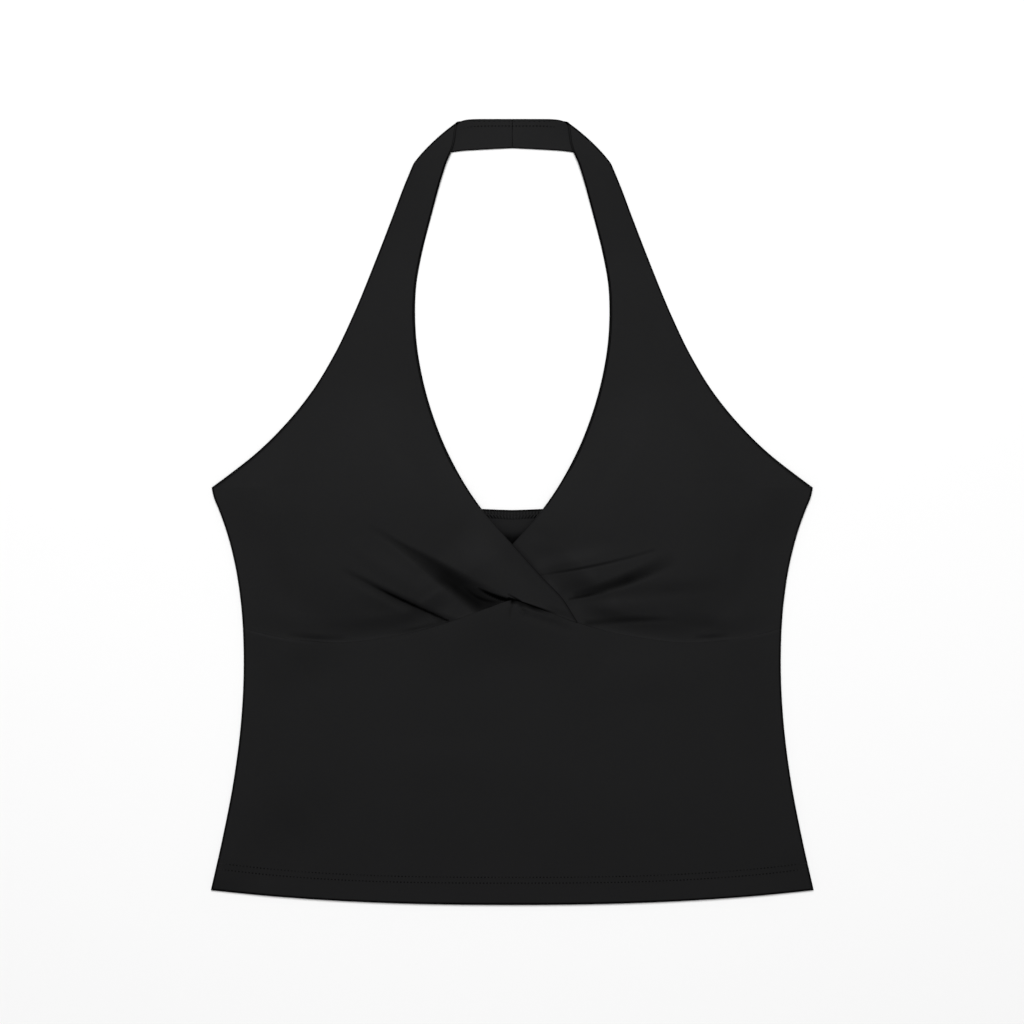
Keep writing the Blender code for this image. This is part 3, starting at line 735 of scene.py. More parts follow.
def bust_half_faces(crosses_over, sizes):
    """(lower face, upper face, painted edge shade, painted fold shade) of a bust half and its strap.
    The front goes up from the seam, the rolled part makes half a turn about the shoulder fold's
    axis, and the part behind the neck lies flat on the floor."""
    roll, seam_roll, wall = sizes["edge_roll"], sizes["seam_roll"], sizes["bust_wall"]
    x, h, near, full, v = front_plan(roll, seam_roll)
    fronts = thicken(x, h, bust_inner_height(x, h, crosses_over, wall), wall, full)
    end_near = near[-1:]
    end_full = roundness(end_near, roll)
    s, left = nape_shares(seam_roll)
    nape_x, nape_h = nape_rows_plan(s, v)
    nape_full = end_full * roundness(left, seam_roll)
    turn = np.linspace(0.0, np.pi, ROWS_FOLD + 1)[1:, None]
    axis_x, axis_h, bow, swell = fold_line_plan(turn, v)
    out_x, out_h = fold_outward()
    middle = wall / 2 + FOLD_RADIUS
    faces = []
    for front, side in zip(fronts, (-1, 1)):
        radius = FOLD_RADIUS + side * wall / 2 * end_full
        reach = bow + radius * swell * np.sin(turn)
        height = middle + radius * np.cos(turn)
        rolled = np.dstack([axis_x + reach * out_x, axis_h + reach * out_h, height])
        flat = np.dstack([nape_x, nape_h, wall / 2 * (1 - side * nape_full)])
        front[-1, :, 2] = middle + radius
        faces.append(np.vstack([front, rolled, flat]))
    # Painted shade along the strap's edges, and over the shoulder fold's turn, darkest where it faces
    # sideways
    end_edge_shade = edge_shade(end_near, EDGE_LINE)
    fold_turn_shade = np.maximum(end_edge_shade, np.minimum(FOLD_LINE * np.sin(turn) ** FOLD_LINE_SHAPE, 1.0))
    rim = np.vstack([painted_edge_line(x, h, near), fold_turn_shade, np.repeat(end_edge_shade, len(s), axis=0)])
    fold = fold_shade(LEFT_FOLDS if crosses_over else RIGHT_FOLDS, x, h)
    return *faces, rim, np.vstack([fold, 0 * fold_turn_shade, 0 * nape_full])


def bust_half(name, crosses_over, sizes, cloth):
    """One bust half with its strap as a shell, mirrored across the centre line for the right one."""
    lower, upper, rim, fold = bust_half_faces(crosses_over, sizes)
    if not crosses_over:
        lower[..., 0] *= -1
        upper[..., 0] *= -1
    return shell(name, lower, upper, rim, fold, cloth)


def body_faces(top_half, top_height, rows, across, inner_of, wall_of, painted_shade_of, sewn, sizes):
    """(lower face, upper face, painted edge shade, painted fold shade) of a body panel, from the hem
    up. Each row is a straight blend between the hem and the top edge, at the same shares of the
    width."""
    roll = sizes["edge_roll"]
    top_roll = sizes["seam_roll"] if sewn else roll
    length = float(top_height(np.array(top_half))) - HEM_RISE
    u = edge_steps(np.array([[length]]), roll, inner_shares(rows)).reshape(-1, 1)
    u[-len(EDGE_SHARES):, 0] = length - EDGE_SHARES[::-1] * top_roll
    from_ends = roundness(u, roll) * roundness(length - u, top_roll)
    end_near = np.minimum(u, length - u + (EDGE_LINE if sewn else 0.0))
    u = u / length
    half = curve(SIDE_SEAM, HEM_RISE + u * length)
    steps = edge_steps(2 * half, roll, inner_shares(across))
    near = np.minimum(steps, 2 * half - steps)
    full = roundness(near, roll) * from_ends
    # Painted shade along the panel's edges, none along a sewn top edge
    rim = edge_shade(np.minimum(near, end_near), EDGE_LINE)
    t = steps / half - 1
    h = (1 - u) * hem_height(t * HEM_HALF) + u * top_height(t * top_half)
    x = t * half
    return *thicken(x, h, inner_of(x, h), wall_of(x, h), full), rim, painted_shade_of(x, h)


def body_inner_height(x, h):
    """The front body's inner face: close to the back panel along the side seams and at the hem,
    and lofted off it between them by smooth steps and the folds. Its top edge dips into the
    underbust seam, by an amount that fades with the distance and towards the right."""
    from_side = ease((curve(SIDE_SEAM, h) - np.abs(x)) / EDGE_EASE)
    near_seam = np.exp(-np.maximum(underbust_height(x) - h, 0.0) / LIP_REACH)
    dip = LIP_DIP * near_seam * (1 - ease((x - LIP_FADE[0]) / (LIP_FADE[1] - LIP_FADE[0])))
    dome = HEM_LOFT + (BODY_LOFT - HEM_LOFT) * ease((h - hem_height(x)) / HEM_LOFT_REACH)
    loft = never_below(dome + fold_rise(BODY_FOLDS, x, h) - dip) * from_side
    return BACK_WALL + LAY_GAP + loft


def shell(name, lower, upper, rim, fold, material):
    """One closed mesh between two grids that share their outer points, with a map of the cut cloth,
    and each point's painted shade along a rolled edge and in a deep fold. The faces are turned
    outwards by the sign of the cross product of a step across and a step along."""
    rows, columns = lower.shape[:2]
    top = np.arange(rows * columns).reshape(rows, columns)
    bottom = top.copy()
    inner = (rows - 2) * (columns - 2)
    bottom[1:-1, 1:-1] = rows * columns + np.arange(inner).reshape(rows - 2, columns - 2)

    def both(of_top, of_bottom, width):
        """Values of all the points: those of the top grid, and of the bottom one inside its edge."""
        return np.concatenate([of_top.reshape(-1, width), of_bottom[1:-1, 1:-1].reshape(-1, width)])

    quads = [
        np.stack([g[:-1, :-1], g[:-1, 1:], g[1:, 1:], g[1:, :-1]], axis=-1).reshape(-1, 4)
        for g in (top, bottom)
    ]
    faces = np.concatenate([quads[0], quads[1][:, ::-1]])
    middle = rows // 4, columns // 2
    along = upper[middle[0] + 1, middle[1]] - upper[middle]
    across = upper[middle[0], middle[1] + 1] - upper[middle]
    if np.cross(across, along)[2] < 0:
        faces = faces[:, ::-1]
    place = cut_place(upper)
    obj = mesh_object(name, both(upper, lower, 3), faces, material, both(place, place, 2))
    for key, share in (("rim", rim), ("fold", fold)):
        layer = obj.data.attributes.new(key, "FLOAT", "POINT")
        layer.data.foreach_set("value", both(share, share, 1).astype(np.float32).ravel())
    return obj


def cut_place(points):
    """Distances over the cloth, summed along each row from its middle and along the middle
    column."""
    across = np.linalg.norm(np.diff(points, axis=1), axis=2)
    across = np.hstack([np.zeros((len(points), 1)), np.cumsum(across, axis=1)])
    middle = points.shape[1] // 2
    across -= across[:, middle : middle + 1]
    along = np.linalg.norm(np.diff(points[:, middle], axis=0), axis=1)
    along = np.append(0.0, np.cumsum(along))[:, None] + 0 * across
    return np.dstack([across, along]) * MM


def mesh_object(name, points, faces, material, place=None):
    """A mesh object from points in millimetres and faces of one size. Its origin goes to half
    the garment's length, and whole arrays fill it."""
    points = (points - [0.0, LENGTH / 2, 0.0]) * MM
    mesh = bpy.data.meshes.new(name)
    sides = faces.shape[1]
    mesh.vertices.add(len(points))
    mesh.vertices.foreach_set("co", points.astype(np.float32).ravel())
    mesh.loops.add(faces.size)
    mesh.loops.foreach_set("vertex_index", faces.astype(np.int32).ravel())
    mesh.polygons.add(len(faces))
    mesh.polygons.foreach_set("loop_start", np.arange(0, faces.size, sides, dtype=np.int32))
    mesh.update(calc_edges=True)
    mesh.validate()
    mesh.shade_smooth()
    if place is not None:
        layer = mesh.uv_layers.new(name="cut")
        layer.data.foreach_set("uv", place[faces.ravel()].astype(np.float32).ravel())
    mesh.materials.append(material)
    obj = bpy.data.objects.new(name, mesh)
    bpy.context.scene.collection.objects.link(obj)
    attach(obj, BODY)
    return obj


def stitches(name, groups, material, sides=8, rings=4):
    """One mesh of many stitches: each a spindle along its own direction, round in section, whose
    radius is the square root of a sine. A group is (places, along, up, length, thickness, shade)
    and its shade, one for all or one for each, goes from 0, a needle hole painted near black for
    the shade in its pit, to 1, thread."""
    ring = np.linspace(0.0, np.pi, rings + 2)[1:-1]
    turn = np.linspace(0.0, 2 * np.pi, sides, endpoint=False)
    radius = np.sqrt(np.sin(ring))[:, None]
    ends = [[-0.5, 0.0, 0.0], [0.5, 0.0, 0.0]]
    body = [np.broadcast_to(-np.cos(ring)[:, None] / 2, (rings, sides)), radius * np.cos(turn) / 2,
            radius * np.sin(turn) / 2]
    spindle = np.concatenate([np.stack(body, axis=-1).reshape(-1, 3), ends])
    ids = np.arange(rings * sides).reshape(rings, sides)
    beside = np.roll(ids, -1, axis=1)
    walls = np.stack([ids[:-1], beside[:-1], beside[1:], ids[1:]], axis=-1).reshape(-1, 4)
    first = np.full(sides, rings * sides)
    caps = [np.stack([first, beside[0], ids[0]], axis=-1),
            np.stack([first + 1, ids[-1], beside[-1]], axis=-1)]
    faces = np.concatenate([walls[:, [0, 1, 2]], walls[:, [0, 2, 3]], *caps])
    points, shades = [], []
    for places, along, up, length, thick, shade in groups:
        basis = np.stack([along * length, np.cross(up, along) * thick, up * thick], axis=1)
        points.append(places[:, None, :] + np.einsum("sk,nkj->nsj", spindle, basis))
        shades.append(np.repeat(shade + np.zeros(len(places)), len(spindle)))
    points = np.concatenate(points)
    offsets = np.arange(len(points))[:, None, None] * len(spindle)
    obj = mesh_object(name, points.reshape(-1, 3), (faces[None] + offsets).reshape(-1, 3), material)
    layer = obj.data.attributes.new("shade", "FLOAT", "POINT")
    layer.data.foreach_set("value", np.concatenate(shades).astype(np.float32))
    return obj


def row_places(x, h, z_of, pitch, start=0.5, lift=0.0):
    """Even steps along a line in plan, from a share of a step on: (places, directions, ups) on
    the surface z_of(x, h), or above it by the lift. A direction is the chord over half a step,
    and up is what is left of straight up, square to it."""
    run = np.append(0.0, np.cumsum(np.hypot(np.diff(x), np.diff(h))))
    at = np.arange(pitch * start, run[-1], pitch)
    reach = pitch / 4

    def place(distance):
        """The point on the surface at a distance along the line."""
        px, ph = np.interp(distance, run, x), np.interp(distance, run, h)
        return np.stack([px, ph, z_of(px, ph) + lift], axis=-1)

    along = unit(place(at + reach) - place(at - reach))
    return place(at), along, unit(np.array([0.0, 0.0, 1.0]) - along * along[:, 2:])


def unit(vectors):
    """Vectors divided by their lengths."""
    return vectors / np.linalg.norm(vectors, axis=1)[:, None]


def uneven(places):
    """0 to 1 along a row: the thread draws the cloth in more at some places, as a product of two
    sine waves of the distance across."""
    first, second = np.sin(places[:, :1] / np.array(UNEVEN_WAVES)).T
    return 0.5 + 0.5 * first * second


def stitch_row(x, h, z_of, sizes, unevenness, fade):
    """A row of lockstitches: sunk thread between needle holes painted dark for the shade in their
    pits, some of them fainter. The last ones fade out over a distance from each end of the row."""
    pitch, thick = sizes["stitch_pitch"], sizes["thread_thickness"]
    holes = row_places(x, h, z_of, pitch, HOLE_START, -HOLE_DEPTH)
    threads = row_places(x, h, z_of, pitch, THREAD_START, -THREAD_SUNK)
    faint = unevenness * uneven(holes[0])
    from_end = np.max(np.abs(x)) - np.abs(holes[0][:, 0])
    faint = faint + (1 - faint) * (1 - ease(from_end / fade))
    return [(*holes, pitch * HOLE_LONG, thick * HOLE_WIDE, faint),
            (*threads, pitch * THREAD_LONG, thick, 1.0)]


def plug(tree, made, inputs):
    """Fills a node's inputs, by name or number: links other nodes' results, sets plain values."""
    for key, value in inputs.items():
        if hasattr(value, "is_output"):
            tree.links.new(value, made.inputs[key])
        else:
            made.inputs[key].default_value = value


def node(tree, kind, **inputs):
    """A new node with its inputs filled."""
    made = tree.nodes.new(kind)
    plug(tree, made, inputs)
    return made


def math_node(tree, operation, *values):
    """The result of one step of arithmetic on other results and plain numbers."""
    made = tree.nodes.new("ShaderNodeMath")
    made.operation = operation
    plug(tree, made, dict(enumerate(values)))
    return made.outputs[0]


def texture(tree, kind, **inputs):
    """A procedural texture in the object's own coordinates."""
    place = tree.nodes.new("ShaderNodeTexCoord")
    return node(tree, kind, Vector=place.outputs["Object"], **inputs)


def share_of(tree, name):
    """The share that each point of the mesh holds under a name."""
    made = tree.nodes.new("ShaderNodeAttribute")
    made.attribute_name = name
    return made.outputs["Fac"]


def blend(tree, share, first, second):
    """The colour that is a share of the way from the first to the second."""
    made = tree.nodes.new("ShaderNodeMix")
    made.data_type = "RGBA"
    plug(tree, made, {"A": first, "B": second, "Factor": share})
    return made.outputs["Result"]


def toned(colour, share):
    """A colour made darker or lighter by a share."""
    return tuple(c * share for c in colour[:3]) + (1.0,)


def new_material(name):
    """(material, node tree, shader) of a new material by name."""
    material = bpy.data.materials.new(name)
    material.use_nodes = True
    tree = material.node_tree
    return material, tree, tree.nodes["Principled BSDF"]


def jersey_material(colours):
    """Fine single jersey. Its relief on the cut map is a sine wave over each of a knit column's
    two legs, and a smaller one along them, which leans up to the column's middle. Noise adds soft
    mottling and a faint fuzz. Colour, gloss and sheen are multiplied by the light that the painted
    edge shade and painted fold shade leave, and raised where a fold share is a painted highlight."""
    material, tree, shader = new_material("black_jersey_cloth")
    cut = tree.nodes.new("ShaderNodeUVMap")
    cut.uv_map = "cut"
    split = node(tree, "ShaderNodeSeparateXYZ", Vector=cut.outputs["UV"])
    column = math_node(tree, "DIVIDE", split.outputs["X"], colours["wale"])
    column = math_node(tree, "FRACT", column)
    lean = math_node(tree, "ABSOLUTE", math_node(tree, "SUBTRACT", column, 0.5))
    course = math_node(tree, "DIVIDE", split.outputs["Y"], colours["course"])
    course = math_node(tree, "MULTIPLY_ADD", lean, LOOP_LEAN, course)
    loop = math_node(tree, "SINE", math_node(tree, "MULTIPLY", course, 2 * np.pi))
    groove = math_node(tree, "SINE", math_node(tree, "MULTIPLY", lean, 2 * np.pi))
    knit = math_node(tree, "MULTIPLY_ADD", loop, LOOP_RELIEF, groove)
    fuzz = texture(tree, "ShaderNodeTexNoise", Scale=900.0, Detail=3.0, Roughness=0.6)
    mottle = texture(tree, "ShaderNodeTexNoise", Scale=14.0, Detail=4.0, Roughness=0.55)
    bump = node(tree, "ShaderNodeBump", Height=knit, Strength=0.25, Distance=0.00012)
    bump = node(tree, "ShaderNodeBump", Height=fuzz.outputs["Fac"], Strength=0.25,
                Distance=0.0002, Normal=bump.outputs["Normal"])
    # Painted shade along edges and in folds, and painted highlight where the fold share is below 0
    left_by_edge_shade = math_node(tree, "MULTIPLY_ADD", share_of(tree, "rim"), -colours["rim_shade"], 1.0)
    left_by_fold_shade = math_node(tree, "MULTIPLY_ADD", share_of(tree, "fold"), -colours["fold_shade"], 1.0)
    lit = math_node(tree, "MULTIPLY", left_by_edge_shade, left_by_fold_shade)
    mottled = math_node(tree, "MULTIPLY", mottle.outputs["Fac"], MOTTLE_SHARE)
    mottled = math_node(tree, "MULTIPLY_ADD", fuzz.outputs["Fac"], FUZZ_SHARE, mottled)
    tone = blend(tree, mottled, toned(colours["jersey"], JERSEY_DARK),
                 toned(colours["jersey"], JERSEY_LIGHT))
    shaded = tree.nodes.new("ShaderNodeVectorMath")
    shaded.operation = "SCALE"
    plug(tree, shaded, {0: tone, "Scale": lit})
    least = colours["roughness"] - FUZZ_ROUGHNESS / 2
    plug(tree, shader, {
        "Normal": bump.outputs["Normal"],
        "Base Color": shaded.outputs["Vector"],
        "Roughness": math_node(tree, "MULTIPLY_ADD", fuzz.outputs["Fac"], FUZZ_ROUGHNESS, least),
        "Specular IOR Level": math_node(tree, "MULTIPLY", lit, colours["gloss"]),
        "Sheen Weight": math_node(tree, "MULTIPLY", lit, colours["sheen"]),
        "Sheen Roughness": SHEEN_ROUGHNESS,
    })
    material.diffuse_color = colours["jersey"]
    return material


def thread_material(colours):
    """Polyester thread with slanting bands of twist and a little gloss. Its colour and gloss are
    multiplied by its shade, so that it is painted dark for the shade where it goes in."""
    material, tree, shader = new_material("black_sewing_thread")
    twist = texture(tree, "ShaderNodeTexWave", Scale=700.0, Distortion=1.5, Detail=1.0)
    twist.bands_direction = "DIAGONAL"
    shade = share_of(tree, "shade")
    twisted = math_node(tree, "MULTIPLY_ADD", twist.outputs["Fac"], TWIST_SHARE, 1 - TWIST_SHARE)
    bump = node(tree, "ShaderNodeBump", Height=twist.outputs["Fac"], Strength=0.3, Distance=0.00008)
    lit = math_node(tree, "MULTIPLY", shade, twisted)
    plug(tree, shader, {
        "Normal": bump.outputs["Normal"],
        "Base Color": blend(tree, lit, PAINTED_HOLE_SHADE, colours["thread"]),
        "Roughness": THREAD_ROUGHNESS,
        "Specular IOR Level": math_node(tree, "MULTIPLY", shade, THREAD_GLOSS),
    })
    material.diffuse_color = colours["thread"]
    return material


def floor_material(colours):
    """Matt pale paper, mottled by noise between its colour and a slightly darker tone."""
    material, tree, shader = new_material("pale_floor")
    mottle = texture(tree, "ShaderNodeTexNoise", Scale=30.0, Detail=3.0)
    tone = blend(tree, mottle.outputs["Fac"], toned(colours["floor"], FLOOR_DARK), colours["floor"])
    plug(tree, shader, {
        "Base Color": tone, "Roughness": FLOOR_ROUGHNESS, "Specular IOR Level": 0.0})
    return material


class HalterSizes(bpy.types.PropertyGroup):
    """Sizes of the cloth and its stitching"""
    body_wall: bpy.props.FloatProperty(
        name="Body cloth", description="Thickness of the body's single jersey",
        default=1.1 * MM, subtype="DISTANCE", unit="LENGTH")
    bust_wall: bpy.props.FloatProperty(
        name="Bust cloth", description="Thickness of the bust's two layers of jersey",
        default=1.5 * MM, subtype="DISTANCE", unit="LENGTH")
    edge_roll: bpy.props.FloatProperty(
        name="Edge roll", description="Width over which an edge of cloth rounds off",
        default=1.2 * MM, subtype="DISTANCE", unit="LENGTH")
    seam_roll: bpy.props.FloatProperty(
        name="Seam roll", description="Width over which cloth rounds off into a seam",
        default=0.05 * MM, subtype="DISTANCE", unit="LENGTH")
    hem_depth: bpy.props.FloatProperty(
        name="Hem depth", description="Height of the lower hem stitch row above the edge",
        default=14.6 * MM, subtype="DISTANCE", unit="LENGTH")
    hem_row_gap: bpy.props.FloatProperty(
        name="Twin needle gap", description="Distance between the two hem stitch rows",
        default=3.85 * MM, subtype="DISTANCE", unit="LENGTH")
    stitch_pitch: bpy.props.FloatProperty(
        name="Stitch pitch", description="Distance from one stitch to the next",
        default=2.3 * MM, subtype="DISTANCE", unit="LENGTH")
    thread_thickness: bpy.props.FloatProperty(
        name="Thread", description="Thickness of the sewing thread",
        default=0.45 * MM, subtype="DISTANCE", unit="LENGTH")
    wale: bpy.props.FloatProperty(
        name="Knit column", description="Width of one column of knit loops",
        default=0.8 * MM, subtype="DISTANCE", unit="LENGTH")


class HalterColours(bpy.types.PropertyGroup):
    """Colours and finishes of the cloth, the thread and the floor, and the strengths of the painted
    shade along edges and in folds
    """
    gloss: bpy.props.FloatProperty(
        name="Gloss", description="Strength of the soft shine of the jersey",
        default=0.06, min=0.0, max=1.0, subtype="FACTOR")
    roughness: bpy.props.FloatProperty(
        name="Roughness", description="How widely the jersey spreads its shine",
        default=0.55, min=0.1, max=1.0, subtype="FACTOR")
    sheen: bpy.props.FloatProperty(
        name="Sheen", description="Strength of the fuzz's edge sheen",
        default=0.01, min=0.0, max=1.0, subtype="FACTOR")
    # Strength of the painted shade along the rolled edges
    rim_shade: bpy.props.FloatProperty(
        name="Edge shade", description="How much darker a rolled edge is",
        default=0.97, min=0.0, max=1.0, subtype="FACTOR")
    # Strength of the painted shade in folds, and of their painted highlights
    fold_shade: bpy.props.FloatProperty(
        name="Fold shade", description="How much darker the bottom of a deep fold is",
        default=0.96, min=0.0, max=1.0, subtype="FACTOR")
    jersey: bpy.props.FloatVectorProperty(
        name="Jersey", description="Colour of the cloth",
        default=(0.0067, 0.0067, 0.0070, 1.0), size=4, subtype="COLOR", min=0.0, max=1.0)
    thread: bpy.props.FloatVectorProperty(
        name="Thread", description="Colour of the sewing thread",
        default=(0.0118, 0.0118, 0.0121, 1.0), size=4, subtype="COLOR", min=0.0, max=1.0)
    floor: bpy.props.FloatVectorProperty(
        name="Floor", description="Colour of the floor",
        default=(0.9, 0.9, 0.9, 1.0), size=4, subtype="COLOR", min=0.0, max=1.0)


def sizes_mm():
    """The panel's sizes, in millimetres."""
    group = bpy.context.scene.halter_sizes
    return {key: getattr(group, key) / MM for key in HalterSizes.__annotations__}


def colour_values():
    """The panel's colours, finishes and painted shade strengths, and the width and height of a knit
    loop in metres.
    """
    scene = bpy.context.scene
    values = {key: getattr(scene.halter_colours, key) for key in HalterColours.__annotations__}
    wale = scene.halter_sizes.wale
    return values | {"wale": wale, "course": wale * COURSE_SHARE}


def shared(name, make):
    """A material by name, made the first time that it is asked for."""
    return bpy.data.materials.get(name) or make(colour_values())


def jersey():
    """The cloth of all four pieces."""
    return shared("black_jersey_cloth", jersey_material)


def thread():
    """The thread of all the stitches."""
    return shared("black_sewing_thread", thread_material)


class HALTER_OT_back_panel(bpy.types.Operator):
    """The one-piece back, flat on the floor. Rows run from the hem to the straight top edge,
    each from side seam to side seam, and both faces close in a rolled edge"""
    bl_idname = "halter.back_panel"
    bl_label = "Back panel"

    def execute(self, context):
        sizes = sizes_mm()
        faces = body_faces(UNDERARM_HALF, back_top_height, ROWS_BACK, ACROSS_BACK,
                           lambda x, h: 0.0 * x, back_face, back_shade, False, sizes)
        piece = shell("back_cloth", *faces, jersey())
        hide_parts("back_panel")
        return {"FINISHED"}


class HALTER_OT_front_body(bpy.types.Operator):
    """The front below the underbust seam: rows from the hem to the seam, lofted off the back
    panel by a low dome with a few soft undulations"""
    bl_idname = "halter.front_body"
    bl_label = "Front body"

    def execute(self, context):
        sizes = sizes_mm()

        def top(across):
            """The panel's top edge, just below the underbust seam."""
            return underbust_height(across) - SEAM_TUCK

        faces = body_faces(curve(SIDE_SEAM, SEAM_SIDE_HEIGHT), top, ROWS_BODY, ACROSS_BODY,
                           body_inner_height, lambda x, h: sizes["body_wall"],
                           lambda x, h: fold_shade(BODY_FOLDS, x, h), True, sizes)
        piece = shell("front_cloth", *faces, jersey())
        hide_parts("front_body")
        return {"FINISHED"}


class HALTER_OT_bust_halves(bpy.types.Operator):
    """The two bust halves, each cut in one with its halter strap. The left one crosses on top"""
    bl_idname = "halter.bust_halves"
    bl_label = "Bust halves and straps"

    def execute(self, context):
        sizes = sizes_mm()
        right = bust_half("bust_right_cloth", False, sizes, jersey())
        left = bust_half("bust_left_cloth", True, sizes, jersey())
        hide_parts("bust_right")
        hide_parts("bust_left")
        return {"FINISHED"}


class HALTER_OT_hem_stitches(bpy.types.Operator):
    """Two rows of twin needle stitches along the front hem: spindles at even steps along two
    curves that rise from the middle to the side seams as a power of the distance"""
    bl_idname = "halter.hem_stitches"
    bl_label = "Hem stitches"

    def execute(self, context):
        sizes = sizes_mm()
        t = np.linspace(-1.0, 1.0, HEM_POINTS)

        def face(x, h):
            """The body's upper face."""
            return body_inner_height(x, h) + sizes["body_wall"]

        rows = []
        for row, unevenness in enumerate(HEM_UNEVEN):
            above = sizes["hem_depth"] + row * sizes["hem_row_gap"]
            h = above + HEM_ROW_RISE * np.abs(t) ** HEM_ROW_CURVE
            x = t * (curve(SIDE_SEAM, h) - sizes["edge_roll"])
            rows += stitch_row(x, h, face, sizes, unevenness, HEM_FADE)
        stitches("hem_stitches", rows, thread())
        return {"FINISHED"}


class HALTER_OT_nape_stitches(bpy.types.Operator):
    """The stitching behind the neck: a row below the upper edge that drops at both ends by a
    power of the distance, dashes just inside the edge, and the centre back seam as a straight
    line of slanted stitches"""
    bl_idname = "halter.nape_stitches"
    bl_label = "Back neck stitches"

    def execute(self, context):
        sizes = sizes_mm()
        wall, pitch, thick = sizes["bust_wall"], sizes["stitch_pitch"], sizes["thread_thickness"]

        def face(x, h):
            """The strap's flat upper face."""
            return wall + 0 * x

        x = np.linspace(-NAPE_ROW_HALF, NAPE_ROW_HALF, NAPE_POINTS)
        h = NAPE_ROW_HEIGHT - NAPE_ROW_DROP * np.abs(x / NAPE_ROW_HALF) ** NAPE_ROW_POWER
        rows = stitch_row(x, h, face, sizes, NAPE_UNEVEN, NAPE_FADE)
        x = np.linspace(-DASH_HALF, DASH_HALF, DASH_POINTS)
        h = NAPE_TOP_HEIGHT - DASH_FROM_TOP + 0 * x
        dashes = row_places(x, h, face, pitch * DASH_PITCH, lift=-HOLE_DEPTH)
        dash_shade = DASH_SHADE * uneven(dashes[0])
        rows.append((*dashes, pitch * THREAD_LONG, thick * DASH_THICK, dash_shade))
        low, high = NAPE_LOWER_HEIGHT + NAPE_SEAM_FOOT, NAPE_TOP_HEIGHT - NAPE_SEAM_HEAD
        h = np.linspace(low, high, NAPE_SEAM_POINTS)
        places, _, up = row_places(0 * h, h, lambda x, h: wall * NAPE_SEAM_LIES_AT + 0 * x,
                                   pitch * NAPE_SEAM_PITCH)
        slant = np.repeat(np.array([NAPE_SEAM_SLANT]), len(places), axis=0)
        # Near-black painted shade of the centre back seam's groove, lighter around one height
        from_light = np.abs(places[:, 1] - NAPE_SEAM_LIGHT_HEIGHT) / NAPE_SEAM_LIGHT_REACH
        shade = NAPE_SEAM_SHADE + NAPE_SEAM_LIGHTER * ease(1 - from_light)
        rows.append((places, slant, up, pitch * NAPE_SEAM_LONG, thick * NAPE_SEAM_THICK, shade))
        stitches("nape_stitches", rows, thread())
        return {"FINISHED"}


class HALTER_OT_back_edge_stitches(bpy.types.Operator):
    """The overlocked edge inside the back's top, which shows in the neck: two rows of strokes at
    even steps below the edge, which lean outwards more the further they are from the middle"""
    bl_idname = "halter.back_edge_stitches"
    bl_label = "Back edge stitches"

    def execute(self, context):
        rows = []
        for row in BAND_ROWS:
            for stroke in BAND_STROKES:
                x = np.linspace(-BAND_HALF, BAND_HALF, BAND_POINTS)
                h = back_top_height(x) - (row.upper + row.lower) / 2
                places, _, up = row_places(x, h, back_face, BAND_PITCH, stroke.start)
                side = np.clip(places[:, 0] / (BAND_HALF / 2), -1, 1) * row.lean
                along = unit(np.stack([side, 0 * side + 1, 0 * side], axis=-1))
                # Dark strokes are painted shade between the threads, lighter towards the middle
                faded = BAND_FADE * ease(1 - np.abs(places[:, 0]) / BAND_FADE_REACH)
                shade = stroke.shade + (1 - stroke.shade) * faded
                rows.append((places, along, up, row.lower - row.upper, row.thick, shade))
        stitches("back_edge_stitches", rows, thread())
        return {"FINISHED"}


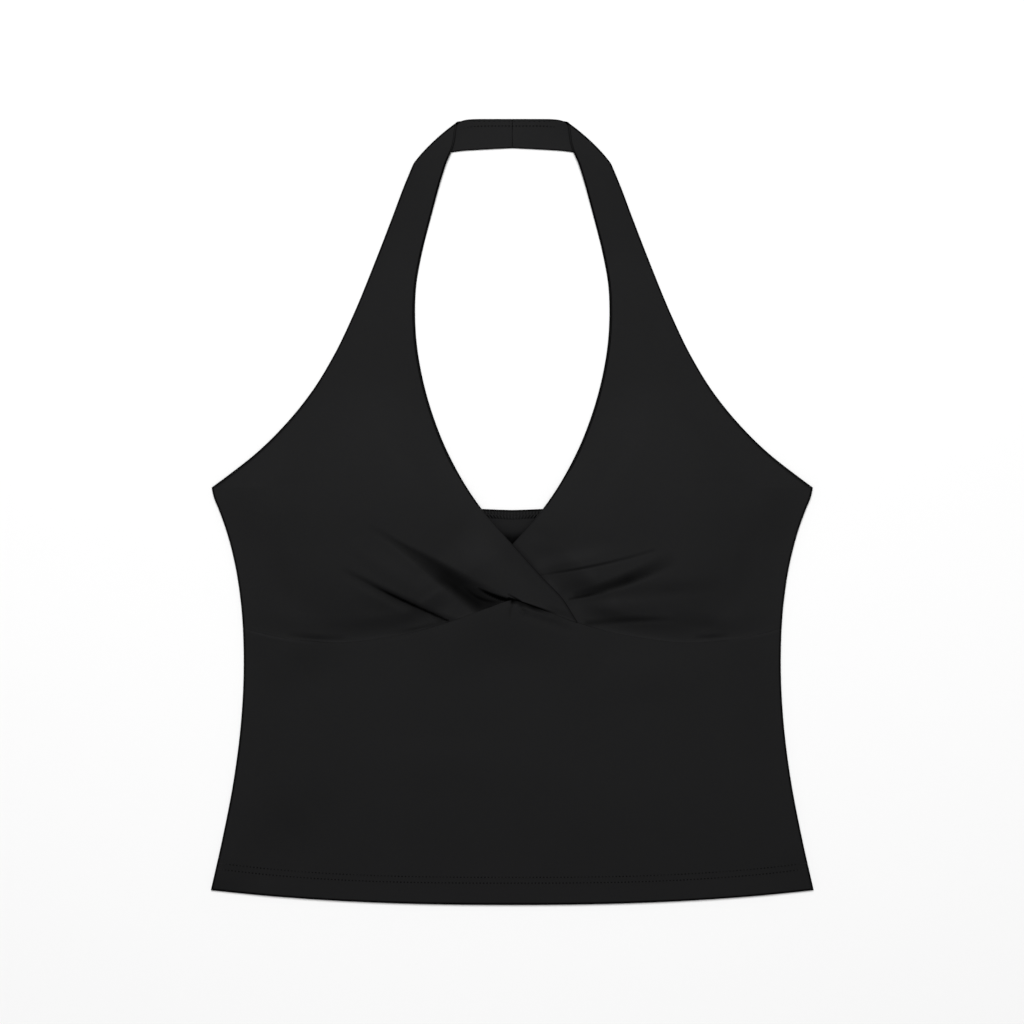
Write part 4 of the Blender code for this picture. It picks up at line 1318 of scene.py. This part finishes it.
class HALTER_OT_stage(bpy.types.Operator):
    """The pale floor, the soft studio lights and the camera, which looks straight down"""
    bl_idname = "halter.stage"
    bl_label = "Studio"

    def execute(self, context):
        scene = context.scene
        half, low = FLOOR_HALF, -FLOOR_DEPTH
        corners = [(-half, -half, low), (half, -half, low), (half, half, low), (-half, half, low)]
        mesh = bpy.data.meshes.new("floor")
        mesh.from_pydata(corners, [], [(0, 1, 2, 3)])
        mesh.materials.append(floor_material(colour_values()))
        floor = bpy.data.objects.new("floor", mesh)
        scene.collection.objects.link(floor)

        for lamp in LAMPS:
            light = bpy.data.lights.new(lamp.name, "AREA")
            light.size = lamp.size
            light.energy = lamp.power
            lit = bpy.data.objects.new(lamp.name, light)
            lit.location = lamp.place
            lit.rotation_euler = (-lit.location).to_track_quat("-Z", "Y").to_euler()
            scene.collection.objects.link(lit)
        world = bpy.data.worlds.new("studio")
        world.use_nodes = True
        background = world.node_tree.nodes["Background"]
        background.inputs["Color"].default_value = (1.0, 1.0, 1.0, 1.0)
        background.inputs["Strength"].default_value = WORLD_LIGHT
        scene.world = world
        scene.view_settings.view_transform = "Standard"
        scene.view_settings.look = "None"

        camera = bpy.data.cameras.new("camera")
        camera.sensor_width = SENSOR_WIDTH
        camera.lens = LENS
        eye = bpy.data.objects.new("camera", camera)
        eye.location = (EYE_ACROSS, 0.0, VIEW_WIDTH * LENS / SENSOR_WIDTH + VIEW_HEIGHT)
        scene.collection.objects.link(eye)
        scene.camera = eye
        return {"FINISHED"}


OPERATORS = [
    HALTER_OT_back_panel,
    HALTER_OT_front_body,
    HALTER_OT_bust_halves,
    HALTER_OT_hem_stitches,
    HALTER_OT_nape_stitches,
    HALTER_OT_back_edge_stitches,
    HALTER_OT_stage,
]


class HALTER_PT_panel(bpy.types.Panel):
    """Lists the pieces of the top, its sizes and its colours"""
    bl_idname = "HALTER_PT_panel"
    bl_label = "Halter neck top"
    bl_space_type = "VIEW_3D"
    bl_region_type = "UI"
    bl_category = "Halter top"

    def draw(self, context):
        """Every property, then a button for every operator."""
        for group in (context.scene.halter_sizes, context.scene.halter_colours):
            for key in type(group).__annotations__:
                self.layout.prop(group, key)
        for operator in OPERATORS:
            self.layout.operator(operator.bl_idname)


CLASSES = [HalterSizes, HalterColours, *OPERATORS, HALTER_PT_panel]


def register():
    """Makes the classes and the scene's two property groups known to Blender."""
    for cls in CLASSES:
        bpy.utils.register_class(cls)
    bpy.types.Scene.halter_sizes = bpy.props.PointerProperty(type=HalterSizes)
    bpy.types.Scene.halter_colours = bpy.props.PointerProperty(type=HalterColours)


def unregister():
    """Takes them away again, in the opposite order."""
    del bpy.types.Scene.halter_colours
    del bpy.types.Scene.halter_sizes
    for cls in reversed(CLASSES):
        bpy.utils.unregister_class(cls)


def main():
    """Builds every piece and the stage in order."""
    register()
    for operator in OPERATORS:
        category, name = operator.bl_idname.split(".")
        getattr(getattr(bpy.ops, category), name)()


if __name__ == "__main__":
    main()
